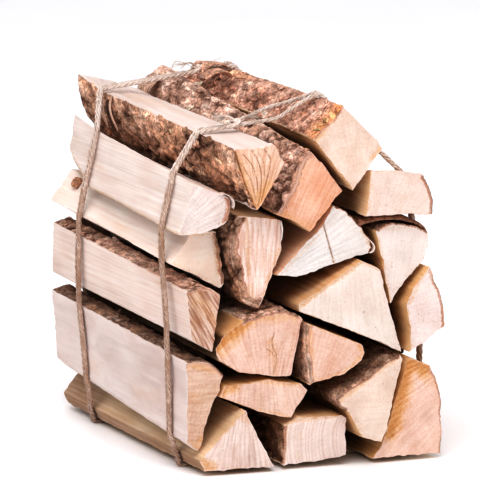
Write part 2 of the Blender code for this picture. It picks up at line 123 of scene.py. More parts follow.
REST = 3.3   # the lowest wood, on the twine under it
LOGS = {
    "log_top_left": Log([
        (-176, [(-53, 204), (-46, 211), (-33, 233), (-29, 239), (-39, 254), (-51, 252), (-71, 252),
                (-64, 227)]),
        (100, [(-59, 214), (-46, 213), (-33, 230), (-27, 240), (-31, 251), (-50, 256), (-76, 258),
               (-74, 236)]),
        (150, [(-60, 217), (-46, 215), (-32, 229), (-26, 241), (-28, 251), (-50, 259), (-78, 265),
               (-75, 240)])],
        "PPPPPPBB", (-51, 196), (251, 208, 182), (240, 220, 212), "brown", 0.7, 0.1, (0.6, 0.3), 0.35, 1.5,
        ((-72, 250, -54, 206, 7, 0.6), (-54, 206, -44, 222, 9, 0.7), (-60, 236, -46, 234, 9, 0.2)),
        ((0.75, 1, (-70.3, 251), (-66, 238), (-62.6, 226), (-53.5, 206)),
         (0.35, 0.6, (-57, 251.3), (-51.5, 242), (-49, 232), (-49.3, 217), (-52, 206)),
         (0.3, 0.55, (-46.6, 250.7), (-42.5, 245), (-41.2, 240), (-44, 228), (-49, 210)),
         (0.3, 0.5, (-64, 248), (-57, 240), (-53, 230), (-51.5, 218)),
         (0.3, 0.5, (-66, 241), (-60, 233), (-56, 224), (-53, 212)),
         (0.25, 0.4, (-52, 250), (-47, 240), (-46, 230))),
        bark_light=1.36),
    "log_top_middle": Log([
        (-150, [(-28, 196), (-12, 190), (1, 180.5), (18, 201), (28, 211), (10, 234), (1, 243), (-6, 240),
                (-15, 218)]),
        (150, [(-22, 204), (-12, 191), (0, 183), (16, 203), (26, 214), (12, 240), (6, 262), (-7, 269),
               (-19, 259)])],
        "GGPPPPBBB", (-70, 60), (250, 190, 158), (246, 196, 160), "grey", 0.35, 0.1, (1.4, 3.4), 0.25, 0.0,
        ((-26, 197, 1, 182, 6, 0.5), (1, 182, 20, 204, 4, 0.35), (-14, 210, -2, 236, 4, 0.25)),
        bark_light=1.3),
    "log_top_right": Log([
        (-156, [(33, 211), (50, 234), (57, 242), (52, 250), (24, 278), (17, 268), (0, 252.5)]),
        (150, [(41, 216), (54, 236), (58, 244), (52, 252), (34, 270), (20, 270), (10, 252)])],
        "PPPPBBG", (38, 206), (249, 220, 202), (244, 214, 190), "red", 0.15, 0.1, (1.6, 0.4), 0.15, 24.0,
        ((1, 253, 18, 269, 5, 0.75), (18, 269, 24, 277, 4, 0.6), (49, 236, 57, 243, 5, 0.6),
         (1, 252, 32, 213, 2.5, 0.35)), bark_light=1.2),
    "log_left_upper": Log([
        (-148, [(-105, 184), (-87, 184), (-72, 188), (-65, 193), (-62, 203), (-65, 212), (-93, 223)]),
        (75, [(-97, 187), (-82, 195), (-72, 196), (-65, 199), (-62, 207), (-66, 216), (-86, 230)]),
        (146, [(-87, 206), (-79, 200), (-72, 200), (-65, 203), (-62, 210), (-66, 218), (-82, 234)])],
        "GPPBBPP", (-118, 178), (252, 236, 230), (237, 217, 208), "pale", 0.6, 0.15, (0.5, 3.2), 0.2, 0.0,
        ((-70, 190, -62, 202, 4, 0.3), (-105, 185, -90, 186, 3, 0.25))),
    "log_left_wedge": Log([
        (-128, [(-104, 159), (-64, 138), (-60, 142), (-62, 154), (-67, 182.5), (-88, 182.5)]),
        (150, [(-101, 166), (-66, 143), (-62, 147), (-63, 160), (-68, 188), (-83, 190)])],
        # Its end and split colours and end_light=1.16 are raised: painted light that undoes the shade of the
        # log above it.
        "PPBBPP", (-260, 148), (255, 232, 216), (255, 234, 222), "brown", 0.2, 0.1, (1.8, 0.8), 0.3, 0.0,
        ((-64, 150, -68, 180, 4, 0.6), (-103, 160, -66, 141, 3, 0.3), (-90, 182, -70, 182, 3, 0.4)),
        end_light=1.16),
    "log_left_middle": Log([
        (-152, [(-96, 104), (-79, 94), (-72, 138), (-86, 146), (-100, 142)]),
        (145, [(-102, 109), (-81, 99), (-72, 142), (-87, 153), (-101, 149)])],
        "PPBBP", (-250, 400), (223, 185, 164), (237, 214, 203), "pale", 1.8, 0.1, (1.0, 1.6), 0.9, 0.0,
        ((-92, 136, -76, 118, 9, 0.35), (-98, 110, -92, 120, 5, 0.2))),
    "log_left_lower": Log([
        (-150, [(-99, 25), (-90, 17.5), (-86, 23), (-82, 44), (-72, 65), (-69, 77), (-84, 88.5), (-100, 88)]),
        (143, [(-99, 41), (-91, 34), (-86, 37), (-82, 52), (-73, 71), (-70, 84), (-88, 99.5), (-103, 95)])],
        "PGGGGBBP", (-300, 66), (230, 189, 165), (232, 213, 206), "brown", 0.3, 0.1, (1.0, 1.4), 0.6, 0.0,
        ((-98, 86, -72, 80, 5, 0.5), (-98, 60, -78, 62, 12, 0.25), (-92, 20, -86, 28, 6, 0.5)),
        # bark_light=0.62: its bark darkened as painted shade.
        bark_light=0.62),
    "log_base_left": Log([
        (-156, [(-88, REST), (-30, REST), (-54, 49.5), (-84, 20.5), (-92, 13)]),
        (140, [(-90, REST), (-33, REST), (-56, 49), (-83, 27), (-95, 13)])],
        "PPHHW", (-56, 90), (249, 223, 212), (222, 178, 136), "brown", 0.8, 0.1, (1.0, 1.2), 0.2, 0.0,
        ((-58, 46, -52, 44, 8, 0.4), (-91, 12, -82, 6, 8, 0.75), (-84, 21, -62, 42, 3, 0.5)), weathered=0.9),
    "log_upright_wedge": Log([
        (-142, [(-38, 123), (-33, 133), (-28, 146), (-19, 166), (-20, 190), (-24, 192), (-56, 196),
                (-60, 190),
                (-62, 172), (-58, 152), (-53, 131)]),
        (150, [(-37, 126), (-32, 137), (-28, 148), (-22, 165), (-22, 190), (-27, 199), (-53, 211), (-58, 199),
               (-60, 176), (-57, 156), (-52, 135)])],
        "PPPPPGBBBBB", (-38, 20), (251, 222, 209), (240, 206, 184), "brown", 1.2, 0.1, (6.0, 1.5), 0.6, 0.0,
        ((-33, 134, -20, 168, 4, 0.5), (-40, 126, -46, 140, 6, 0.4), (-48, 192, -46, 150, 3, 0.45)),
        end_light=1.08),
    "log_fan_wedge": Log([
        (-144, [(-25, 148), (-7, 146), (6, 149), (23, 154), (51, 161), (54, 165), (45, 181), (34, 193),
                (22, 199), (14, 187)]),
        (140, (0.96, 0, 1))],
        "PPPPBBBBPP", (-34, 143), (254, 245, 241), (250, 200, 168), "brown", 0.6, 0.1, (0.4, 0.5), 0.25, 0.0,
        ((46, 178, 52, 166, 4, 0.35), (-20, 149, 10, 178, 2.5, 0.3)),
        ((0.45, 0.75, (13.7, 187), (15.5, 180), (18.6, 169), (22.7, 154)),)),
    "log_right_shoulder": Log([
        (-156, [(43, 191), (98, 189.5), (99, 202), (95, 212), (90, 221), (72, 225), (47.5, 227)]),
        (-52, [(44, 191), (98, 190), (99, 198), (96, 203), (90, 205), (72, 206), (50, 208)]),
        (146, [(45, 192.5), (95, 192), (97, 198), (94, 203), (88, 206), (72, 208), (52, 210)])],
        "PBBBPPG", (46, 150), (250, 224, 210), (246, 212, 182), "brown", 0.2, 0.1, (0.7, 2.0), 0.15, 0.0,
        ((45, 196, 47, 224, 2.5, 0.35), (70, 204, 80, 208, 10, 0.1))),
    "log_right_upper": Log([
        (-148, [(67, 121), (77, 136), (94, 153.5), (99, 168), (97, 176), (82, 182), (65, 183.5),
                (54, 178.5)]),
        (150, [(67, 123), (78, 138), (94, 156), (98, 172), (95, 181), (82, 188), (66, 190), (55, 183)])],
        "GPPPBBBG", (66, 60), (250, 232, 224), (242, 204, 166), "brown", 0.15, 0.1, (0.6, 0.8), 0.15, 0.0,
        ((67, 123, 57, 172, 2.5, 0.4), (56, 179, 90, 180, 2, 0.3))),
    "log_right_middle": Log([
        (-156, [(79.5, 84), (100, 97), (108, 102), (108, 118), (102, 136), (96, 150), (82, 134), (76, 120),
                (80, 104)]),
        (144, (0.97, 0, -1))],
        "PPBBBGGGG", (20, 100), (252, 230, 223), (240, 196, 150), "pale", 0.2, 0.1, (0.5, 1.8), 0.15, 0.0,
        ((80, 88, 78, 116, 2.5, 0.6), (79, 122, 94, 147, 2.5, 0.4), (86, 110, 96, 140, 4, 0.1))),
    "log_centre_large": Log([
        (-150, [(-8, 120), (76, 83.5), (58, 149), (42, 157.5), (-9, 126)]),
        (148, (0.97, 0, 0))],
        "PGPGG", (20, 320), (251, 232, 221), (246, 208, 178), "brown", 0.2, 0.03, (1.0, 1.2), 0.15, 0.0,
        ((-8, 124, 42, 156, 3.5, 0.65), (42, 156, 57, 149, 2.5, 0.5), (58, 148, 74, 90, 1.5, 0.3))),
    "log_centre_left": Log([
        (-152, [(-75, 88), (-57, 77), (-27, 71.5), (-15, 71.5), (-6, 115), (-9, 119), (-20, 123.5),
                (-38, 122),
                (-55, 117), (-71, 106), (-77.4, 97)]),
        (150, (0.96, 0, 0))],
        "PPPPPBBBGDD", (-30, 30), (244, 200, 180), (240, 196, 156), "pale", 0.45, 0.1, (1.6, 1.2), 0.7, 0.0,
        ((-76, 98, -50, 117, 9, 1.0), (-72, 92, -58, 104, 6, 0.5), (-50, 118, -10, 117, 5, 0.5),
         (-32, 100, -28, 76, 6, 0.35), (-14, 100, -18, 90, 9, 0.15)),
        ((0.35, 0.45, (-29.9, 73), (-27.6, 81), (-26.7, 87.1), (-30.7, 98), (-29, 106)),
         (0.3, 0.35, (-27.5, 86), (-31, 91), (-35.5, 94)), (0.3, 0.3, (-27, 88), (-23, 96), (-22, 104)))),
    "log_centre_right": Log([
        (-152, [(-2, 64), (28, 70), (42, 80), (45, 85), (43, 92), (-5, 113.5)]),
        (144, [(-2, 66), (28, 71), (42, 81), (45, 87), (43, 95.5), (-5, 116)])],
        "PPPPPB", (-14, 20), (245, 201, 180), (240, 196, 156), "pale", 0.3, 0.2, (4.2, 0.6), 0.3, 0.0,
        ((0, 66, -2, 112, 6, 0.6), (-2, 64, 30, 70, 5, 0.6), (28, 70, 44, 84, 4, 0.55),
         (40, 92, 44, 86, 3, 0.6))),
    "log_lower_slab": Log([
        (-150, [(-73, 59), (-42, 46), (-15, 38.6), (-1, 60), (-6, 65), (-32, 70), (-68, 68)]),
        (147, (0.97, 0, 0))],
        "PPPPGGG", (-40, 160), (245, 207, 188), (238, 190, 150), "brown", 0.4, 0.1, (1.0, 1.2), 0.5, 0.0,
        ((-74, 62, -60, 68, 9, 0.8), (-40, 47, -16, 40, 3, 0.4), (-40, 69, -8, 64, 3, 0.5))),
    "log_base_middle": Log([
        (-152, [(-23, REST), (8, REST + 1), (30, 7), (30, 36.5), (26, 39), (-9, 40), (-21, 34)]),
        (146, [(-22, REST), (8, REST), (28, REST + 2), (29, 35), (25, 37.5), (-9, 39), (-20, 33)])],
        "PPPPGPB", (60, 20), (253, 230, 220), (238, 200, 166), "brown", 0.05, 0.6, (0.8, 1.6), 0.25, 0.0,
        ((-22, 6, -20, 33, 3, 0.5), (-18, 37, 26, 39, 3, 0.5), (-10, 8, -8, 32, 6, 0.15))),
    "log_right_lower": Log([
        (-158, [(39, 22), (56.5, 16), (60.5, 27), (74, 80), (71, 84), (45, 68.5), (18, 53), (21, 47),
                (28, 42.5)]),
        (148, [(39, 23), (56, 17), (60, 28), (73, 79), (70, 84), (44, 75), (19, 58), (22, 49), (28, 43)])],
        "PPPPBBBBG", (140, 40), (248, 221, 204), (238, 194, 154), "brown", 0.15, 0.05, (1.2, 0.8), 0.25, 0.0,
        ((22, 52, 70, 82, 3, 0.5), (30, 40, 40, 24, 3, 0.3), (40, 22, 56, 17, 3, 0.4)), bark_light=0.85),
    "log_base_right": Log([
        (-152, [(50, REST), (107, REST), (108, 32), (106, 57), (98, 72), (80, 81), (57, 13)]),
        (150, [(52, REST), (105, REST), (106, 32), (104, 56), (96, 71), (80, 79.5), (58, 13)])],
        "PBBBGGG", (200, 120), (250, 208, 188), (240, 196, 152), "pale", 0.3, 0.1, (0.4, 1.2), 0.35, 0.0,
        ((81, 77, 74, 50, 12, 1.0), (74, 50, 66, 22, 10.5, 1.0), (84, 77, 94, 71, 14, 1.0),
         (96, 66, 104, 56, 4, 0.3))),
}

# Letters of the sides. Split wood: pale, golden in a gap as a painted glow, honey-coloured, weathered, and
# dark as painted shade. Then bark.
SIDES = "PGHWDB"
GAP_DEPTH = (6.0, 42.0)                  # mm from an end: wood in a gap goes from its painted golden glow to painted shade over them
BARK_DOME, SPLIT_HOLLOW = 0.035, 0.010   # of a side's length
CUT_LEAN = 0.03                          # slope of a sawn end, at most
SAW_PITCH = 2.3                          # mm between the saw's marks
MOST_STRAYED = 5.0                       # mm, from a solid to the surface drawn round it
CELL_AROUND, CELL_ALONG, CELL_END = 1.3, 1.6, 0.75   # mm, the finest grid of a log's surface
LOG_SEEDS, LEAN_SEED, FLAKE_SEED, PEEL_SEED = 40, 100, 500, 900


# Patterns in space

MIXERS = (73856093, 19349663, 83492791, 2654435761)   # large odd numbers for X, Y, Z and the seed
STIRRERS = (1274126177, 668265263)
WORD, FRACTION = 0xFFFFFFFF, 0xFFFFFF                 # the lowest 32 and 24 bits


def lattice(x, y, z, seed):
    """Repeatable random numbers from 0 to 1 for the whole-number points of a lattice."""
    bits = (x * MIXERS[0]) ^ (y * MIXERS[1]) ^ (z * MIXERS[2]) ^ (seed * MIXERS[3])
    bits = (bits ^ (bits >> 13)) & WORD
    bits = (bits * STIRRERS[0]) & WORD
    bits = ((bits ^ (bits >> 15)) * STIRRERS[1]) & WORD
    return ((bits ^ (bits >> 16)) & FRACTION) / float(FRACTION + 1)


def eased(share):
    """A share from 0 to 1 that leaves 0 and reaches 1 gently."""
    return share * share * (3 - 2 * share)


def waves(points, size, seed=0):
    """Soft random hills from -1 to 1: random heights at the corners of a lattice, blended between."""
    place = np.asarray(points) / size
    cell = np.floor(place).astype(np.int64)
    part = eased(place - cell)
    total = np.zeros(place.shape[:-1])
    for corner in product((0, 1), repeat=3):
        weight = np.prod(np.where(corner, part, 1 - part), axis=-1)
        total += weight * lattice(*np.moveaxis(cell + corner, -1, 0), seed)
    return 2 * total - 1


def rough(points, size, seed=0, octaves=3):
    """Hills on hills: each layer half the size and half the height of the last."""
    size = np.asarray(size, float)
    total = sum(waves(points, size / 2 ** n, seed + 17 * n) / 2 ** n for n in range(octaves))
    return total / (2 - 2 ** (1 - octaves))


def plates(points, size, seed=0):
    """Cells round scattered seeds: how far a point is inside its own cell's edge, and the cell's number."""
    place = np.asarray(points) / size
    cell = np.floor(place).astype(np.int64)
    nearest = np.full(place.shape[:-1], 9.0)
    second, own = nearest.copy(), nearest.copy()
    for step in product((-1, 0, 1), repeat=3):
        corner = cell + step
        spot = [corner[..., i] + lattice(*np.moveaxis(corner, -1, 0), seed + i) for i in range(3)]
        gap = np.linalg.norm(place - np.stack(spot, axis=-1), axis=-1)
        closer = gap < nearest
        second = np.where(closer, nearest, np.minimum(second, gap))
        own = np.where(closer, lattice(*np.moveaxis(corner, -1, 0), seed + 5), own)
        nearest = np.where(closer, gap, nearest)
    return second - nearest, own


def ramp(value, low, high):
    """From 0 at low to 1 at high, smoothly."""
    return eased(np.clip((value - low) / (high - low), 0, 1))


def blend_colours(value, colours):
    """Colours spread evenly over 0 to 1, mixed by value."""
    stops = np.linspace(0, 1, len(colours))
    return np.stack([np.interp(value, stops, [c[i] for c in colours]) for i in range(3)], axis=-1)


def unit(vectors):
    """The same directions with a length of 1."""
    return vectors / np.linalg.norm(vectors, axis=-1, keepdims=True)


# Meshes

def grid_quads(rows, around):
    """Corner numbers of the faces between closed rings of points."""
    row, column = np.meshgrid(np.arange(rows - 1), np.arange(around), indexing="ij")
    this, following = row * around, (row + 1) * around
    beside = (column + 1) % around
    quads = [this + column, following + column, following + beside, this + beside]
    return np.stack(quads, axis=-1).reshape(-1, 4)


def pole_fan(ring, pole, outward):
    """Triangles that close a ring of point numbers onto its pole."""
    beside = np.roll(ring, -1)
    return np.stack([np.full(len(ring), pole), *((ring, beside) if outward else (beside, ring))], axis=-1)


def closed_surface(grid, poles):
    """The points, quads and triangles of rings of points that two poles close, one at each end."""
    rows, around = grid.shape[:2]
    points = np.concatenate([grid.reshape(-1, 3), poles])
    first = pole_fan(np.arange(around), len(points) - 2, True)
    last = pole_fan((rows - 1) * around + np.arange(around), len(points) - 1, False)
    return points, grid_quads(rows, around), np.concatenate([first, last])


def tube_quads(rows, around):
    """Corner numbers of a closed tube's faces: its sides, and strips across its first and last ring."""
    strips = np.array([[n, n + 1, around - 2 - n, around - 1 - n] for n in range(around // 2 - 1)])
    return np.concatenate([grid_quads(rows, around), strips, strips[:, ::-1] + (rows - 1) * around])


def repeated(quads, each, count):
    """The faces of one small piece for count such pieces in turn, with this many points each."""
    return (quads[None] + each * np.arange(count)[:, None, None]).reshape(-1, 4)


def add_mesh(name, points, quads, triangles=()):
    """An object at the origin, from points in the stack's mm and the corner numbers of its faces."""
    triangles = np.asarray(triangles, int).reshape(-1, 3)
    mesh = bpy.data.meshes.new(name)
    mesh.vertices.add(len(points))
    mesh.vertices.foreach_set("co", ((points - MIDDLE) * MM).astype(np.float32).ravel())
    corners = np.concatenate([np.asarray(quads, int).ravel(), triangles.ravel()])
    starts = np.concatenate([np.arange(len(quads)) * 4, len(quads) * 4 + np.arange(len(triangles)) * 3])
    mesh.loops.add(len(corners))
    mesh.loops.foreach_set("vertex_index", corners.astype(np.int32))
    mesh.polygons.add(len(starts))
    mesh.polygons.foreach_set("loop_start", starts.astype(np.int32))
    mesh.polygons.foreach_set("use_smooth", np.ones(len(starts), bool))
    mesh.update(calc_edges=True)
    mesh.validate()
    obj = bpy.data.objects.new(name, mesh)
    bpy.context.scene.collection.objects.link(obj)
    return obj


def set_number(mesh, name, values):
    """Keeps a number for each point of the mesh, for its materials to read."""
    made = mesh.attributes.new(name, "FLOAT", "POINT")
    made.data.foreach_set("value", np.ravel(values).astype(np.float32))


def set_colour(mesh, name, values):
    """Keeps a colour for each point of the mesh, for its materials to read."""
    full = np.concatenate([values, np.ones((len(values), 1))], axis=1)
    made = mesh.color_attributes.new(name, "FLOAT_COLOR", "POINT")
    made.data.foreach_set("color", full.astype(np.float32).ravel())


# Materials

def add(tree, kind, inputs=None, **settings):
    """A shader node with its settings, and its inputs set or linked."""
    made = tree.nodes.new("ShaderNode" + kind)
    for key, value in settings.items():
        setattr(made, key, value)
    for key, value in (inputs or {}).items():
        if isinstance(value, bpy.types.NodeSocket):
            tree.links.new(value, made.inputs[key])
        else:
            made.inputs[key].default_value = value
    return made


def new_material(name, roughness):
    """A material with its tree, its Principled shader and the object's coordinates."""
    made = bpy.data.materials.new(name)
    made.use_nodes = True
    tree = made.node_tree
    shader = tree.nodes["Principled BSDF"]
    shader.inputs["Roughness"].default_value = roughness
    shader.inputs["Specular IOR Level"].default_value = 0.25
    place = add(tree, "TexCoord").outputs["Object"]
    return made, tree, shader, place


def number(tree, name):
    """A number that the mesh keeps for each point."""
    return add(tree, "Attribute", attribute_name=name).outputs["Fac"]


def colour(tree, name):
    """A colour that the mesh keeps for each point."""
    return add(tree, "Attribute", attribute_name=name).outputs["Color"]


def maths(tree, operation, first, second):
    """Two numbers put through an operation of Blender's Math node."""
    return add(tree, "Math", {0: first, 1: second}, operation=operation).outputs[0]


def times(tree, first, second):
    """The product of two numbers."""
    return maths(tree, "MULTIPLY", first, second)


def plus(tree, total, *others):
    """The sum of several numbers."""
    for other in others:
        total = maths(tree, "ADD", total, other)
    return total


def streaks(tree, detail, *numbers, scale=1.0):
    """Noise from 0 to 1 over the line or plane of one or two numbers, each given with its factor."""
    axes = {i: times(tree, value, factor) for i, (value, factor) in enumerate(numbers)}
    placed = add(tree, "CombineXYZ", axes).outputs[0]
    return add(tree, "TexNoise", {"Vector": placed, "Scale": scale, "Detail": detail}).outputs["Fac"]


def speckle(tree, vector, scale, detail=3.0, stretch=(1, 1, 1)):
    """Noise from 0 to 1 with features about 1 / scale metres wide, stretched along the axes."""
    placed = add(tree, "Mapping", {"Vector": vector, "Scale": stretch}).outputs[0]
    return add(tree, "TexNoise", {"Vector": placed, "Scale": scale, "Detail": detail}).outputs["Fac"]


def spread(tree, value, low, high, to_low=0.0, to_high=1.0):
    """The value's range low to high moved to another range."""
    return add(tree, "MapRange", {0: value, 1: low, 2: high, 3: to_low, 4: to_high}).outputs[0]


def tinted(tree, base, factor):
    """A colour made lighter or darker by a factor."""
    return add(tree, "VectorMath", {0: base, 1: factor}, operation="MULTIPLY").outputs[0]


def grey(tree, value):
    """A number as a colour."""
    return add(tree, "CombineXYZ", {0: value, 1: value, 2: value}).outputs[0]


def opaque(screen):
    """A screen colour as a socket takes it."""
    return (*surface(screen), 1)


def mixed(tree, share, first, second):
    """The first colour where share is 0, the second where it is 1."""
    return add(tree, "Mix", {0: share, 6: first, 7: second}, data_type="RGBA").outputs[2]


def deepened(tree, base, depth):
    """A colour made darker and richer as depth goes over 0, by raising it to the power 1 + depth."""
    power = maths(tree, "MAXIMUM", plus(tree, depth, 1.0), 0.5)
    return add(tree, "Gamma", {"Color": base, "Gamma": power}).outputs[0]


def finish_shader(tree, shader, base, height, strength, distance):
    """Gives a shader its colour, and bumps from a height of 0 to 1 times a distance in metres."""
    tree.links.new(base, shader.inputs["Base Color"])
    bump = add(tree, "Bump", {"Height": height, "Strength": strength, "Distance": distance})
    tree.links.new(bump.outputs[0], shader.inputs["Normal"])


def bark_speckles(tree, place):
    """Dark pits and pale grains of bark, about a millimetre wide, with wider patches of tone."""
    grain = speckle(tree, place, 520, 3.0, (1, 0.7, 1))
    coarse = speckle(tree, place, 150, 4.0, (1, 0.55, 1))
    pit = spread(tree, grain, 0.36, 0.62, 0.58, 1.26)
    return times(tree, pit, spread(tree, coarse, 0.3, 0.7, 0.6, 1.4)), grain, coarse


def side_material():
    """Split wood with its fibres along the log, and bark where the bark number says so."""
    made, tree, shader, place = new_material("birch_side", 0.8)
    along = add(tree, "SeparateXYZ", {0: place}).outputs[1]
    streak = streaks(tree, 5.0, (number(tree, "ring"), 0.55), (along, 7))
    mottle = speckle(tree, place, 45, 4.0, (1, 0.4, 1))
    fibre = speckle(tree, place, 900, 2.0, (1, 0.03, 1))
    depth = plus(tree, spread(tree, streak, 0.35, 0.75, -0.12, 0.45),
                 spread(tree, mottle, 0.35, 0.7, -0.1, 0.22), spread(tree, fibre, 0.3, 0.7, -0.05, 0.08))
    wood = deepened(tree, colour(tree, "split_colour"), depth)
    tone, grain, coarse = bark_speckles(tree, place)
    crust = tinted(tree, colour(tree, "bark_colour"), grey(tree, tone))
    edge = plus(tree, number(tree, "bark"), spread(tree, coarse, 0.2, 0.8, -0.3, 0.3))
    share = spread(tree, edge, 0.42, 0.58)
    height = plus(tree, times(tree, grain, share), times(tree, fibre, 0.25))
    finish_shader(tree, shader, mixed(tree, share, wood, crust), height, 0.7, 0.0008)
    return made


def end_material():
    """A sawn end: rings and rays round the tree's middle, stains, a rim of bark and dark cracks, their dark
    partly painted shade.
    """
    made, tree, shader, place = new_material("birch_end", 0.75)
    ring, ray = number(tree, "ring"), number(tree, "ray")
    rings = streaks(tree, 4.0, (ring, 0.45))
    rays = streaks(tree, 5.0, (ray, 0.5), (ring, 0.035))
    stripes = streaks(tree, 3.0, (number(tree, "rind"), 0.75), (ray, 0.06))
    fine = speckle(tree, place, 700, 3.0)
    blotch = speckle(tree, place, 55, 4.0)
    ray_depth = times(tree, spread(tree, rays, 0.42, 0.72, -0.1, 1.0), number(tree, "rays"))
    ring_depth = times(tree, spread(tree, rings, 0.42, 0.7, -0.1, 1.0), number(tree, "rings"))
    depth = plus(tree, ray_depth, ring_depth, spread(tree, fine, 0.35, 0.7, -0.09, 0.14),
                 spread(tree, blotch, 0.4, 0.7, -0.08, 0.26))
    wood = deepened(tree, colour(tree, "end_colour"), depth)

    ragged = plus(tree, number(tree, "stain"), spread(tree, fine, 0.3, 0.7, -0.2, 0.2))
    wetness = plus(tree, spread(tree, rays, 0.35, 0.7, -0.25, 0.4), spread(tree, ragged, 0.6, 1.1, 0, 0.4))
    stained = times(tree, spread(tree, ragged, 0.12, 0.95), 0.9)
    wood = mixed(tree, stained, wood, deepened(tree, opaque(STAIN), wetness))
    dots = spread(tree, speckle(tree, place, 330, 1.0), 0.72, 0.79)
    wood = mixed(tree, times(tree, dots, 0.35), wood, opaque(DOT))

    speck = spread(tree, bark_speckles(tree, place)[0], 0.35, 1.75, 0.62, 1.35)
    tone = times(tree, speck, spread(tree, stripes, 0.35, 0.65, 0.5, 1.4))
    crust = tinted(tree, colour(tree, "bark_colour"), grey(tree, tone))
    rim = plus(tree, number(tree, "rim"), spread(tree, fine, 0.3, 0.7, -0.35, 0.35))
    inner_bark = deepened(tree, opaque(INNER_BARK), spread(tree, stripes, 0.35, 0.65, -0.3, 0.7))
    inner = mixed(tree, spread(tree, rim, 0.75, 1.1), inner_bark, wood)
    base = mixed(tree, spread(tree, rim, -0.25, 0.15), crust, inner)

    # Cracks darken towards their middle: partly the wood's colour, partly painted shade.
    crack = number(tree, "crack")
    opened = mixed(tree, spread(tree, crack, 0.6, 0.95), opaque(THIN_CRACK), opaque(CRACK))
    height = plus(tree, times(tree, rays, number(tree, "rays")), times(tree, fine, 0.5))
    finish_shader(tree, shader, mixed(tree, crack, base, opened), height, 0.5, 0.0006)
    return made


# Logs

def key_sections(log):
    """The Y of a log's given sections, and their corners as an array (section, corner, XZ)."""
    first = np.array(log.sections[0][1], float)
    middle = first.mean(axis=0)
    corners = []
    for _, given in log.sections:
        if isinstance(given, tuple):
            share, dx, dz = given
            given = middle + (first - middle) * share + (dx, dz)
        corners.append(np.array(given, float))
    return np.array([y for y, _ in log.sections], float), np.array(corners)


def round_plan(log, cell):
    """For each point round a log: the side it is on, its share of the way along it, and its length."""
    first = np.array(log.sections[0][1], float)
    lengths = np.linalg.norm(np.roll(first, -1, axis=0) - first, axis=1)
    counts = np.maximum(2, np.round(lengths / cell)).astype(int)
    side = np.repeat(np.arange(len(counts)), counts)
    share = np.concatenate([np.arange(n) / n for n in counts])
    return side, share, lengths[side]


def softened(values, times, axis=1):
    """Values round a closed ring, each blended with its neighbours."""
    for _ in range(times):
        values = (np.roll(values, 1, axis) + 2 * values + np.roll(values, -1, axis)) / 4
    return values


def side_grid(name, log, cell_around, cell_along):
    """The log's sides as rings of points: corners carried between sections, bark domed, edges softened."""
    key_y, key_corners = key_sections(log)
    rng = np.random.default_rng(LEAN_SEED + list(LOGS).index(name))
    lean = rng.uniform(-CUT_LEAN, CUT_LEAN, (2, 2))
    side, share, length = round_plan(log, cell_around)
    rows = int((key_y[-1] - key_y[0]) / cell_along)
    way = np.linspace(0, 1, rows)
    y = key_y[0] + (key_y[-1] - key_y[0]) * way
    corners = np.array([[np.interp(y, key_y, key_corners[:, c, i]) for i in range(2)]
                        for c in range(key_corners.shape[1])]).transpose(2, 0, 1)
    start, end = corners[:, side], corners[:, (side + 1) % corners.shape[1]]
    run = end - start
    outward = unit(np.stack([run[..., 1], -run[..., 0]], axis=-1))
    is_bark = np.array([letter == "B" for letter in log.sides])[side]
    dome = np.where(is_bark, BARK_DOME, -SPLIT_HOLLOW) * length * 4 * share * (1 - share)
    ring = start + run * share[None, :, None] + outward * dome[None, :, None]
    ring, outward = softened(ring, 1), unit(softened(outward, 3))
    offset = ring - ring.mean(axis=1, keepdims=True)
    slope = lean[0] * (1 - way[:, None]) + lean[1] * way[:, None]
    depth = y[:, None] + (offset * slope[:, None, :]).sum(axis=-1)
    points = np.stack([ring[..., 0], depth, ring[..., 1]], axis=-1)
    normals = np.stack([outward[..., 0], 0 * depth, outward[..., 1]], axis=-1)
    from_end = np.minimum(y - y[0], y[-1] - y)
    from_edge = np.minimum(share, 1 - share) * length
    return points, normals, side, from_end[:, None], from_edge[None, :]


def chips(points, from_end, from_edge, seed):
    """How far in mm the splitting has left the edges ragged: most on the edges and round the ends."""
    along_edge = 0.8 * rough(points, (3, 9, 3), seed, 2) * np.exp(-from_edge / 2.5)
    at_end = 0.9 * rough(points, (4, 4, 4), seed + 1, 2) * np.exp(-from_end / 3)
    return along_edge + at_end - 0.4 * np.exp(-from_end / 1.2)


def bark_relief(points, log, seed):
    """Bark's height in mm and its colour: lumps, slow swells, and here and there fissures round plates."""
    bent = points + 3.5 * np.stack([rough(points, 11, seed + n, 2) for n in (1, 2, 3)], axis=-1)
    inside, own = plates(bent, (8.0, 19.0, 8.0), seed)
    broken = ramp(rough(points, (24, 50, 24), seed + 4, 2), -0.25, 0.3)
    fissure = (1 - ramp(inside, 0.02, 0.26)) * broken
    lumps = rough(bent, (5.0, 8.0, 5.0), seed + 7)
    swell = rough(points, (22, 60, 22), seed + 9)
    height = 0.9 * lumps + 1.5 * (swell - 0.4) - 2.0 * fissure + 0.9 * (own - 0.5) * broken
    shade = 0.52 + 0.42 * lumps + 0.26 * swell - 0.55 * fissure + 0.22 * (own - 0.5)
    tones = [surface(c) * log.bark_light for c in BARKS[log.bark]]
    patch = ramp(rough(points, (13, 26, 13), seed + 12), 0.12, 0.5)[..., None] * 0.75
    mixed_tones = blend_colours(np.clip(shade, 0, 1), tones[:4]) * (1 - patch) + tones[4] * patch
    return height, np.clip(mixed_tones, 0, BRIGHTEST)


def split_relief(points, seed):
    """Split wood's height in mm and its tone: fibres, slow bands and torn ledges along the log."""
    fibre = waves(points, (1.7, 70, 1.7), seed)
    band = rough(points, (9, 160, 9), seed + 3, 2)
    ledge = ramp(rough(points, (14, 120, 14), seed + 5, 2), 0.16, 0.24)
    return 0.14 * fibre + 0.4 * band - 0.45 * ledge, 1 + 0.015 * fibre + 0.03 * band - 0.035 * ledge


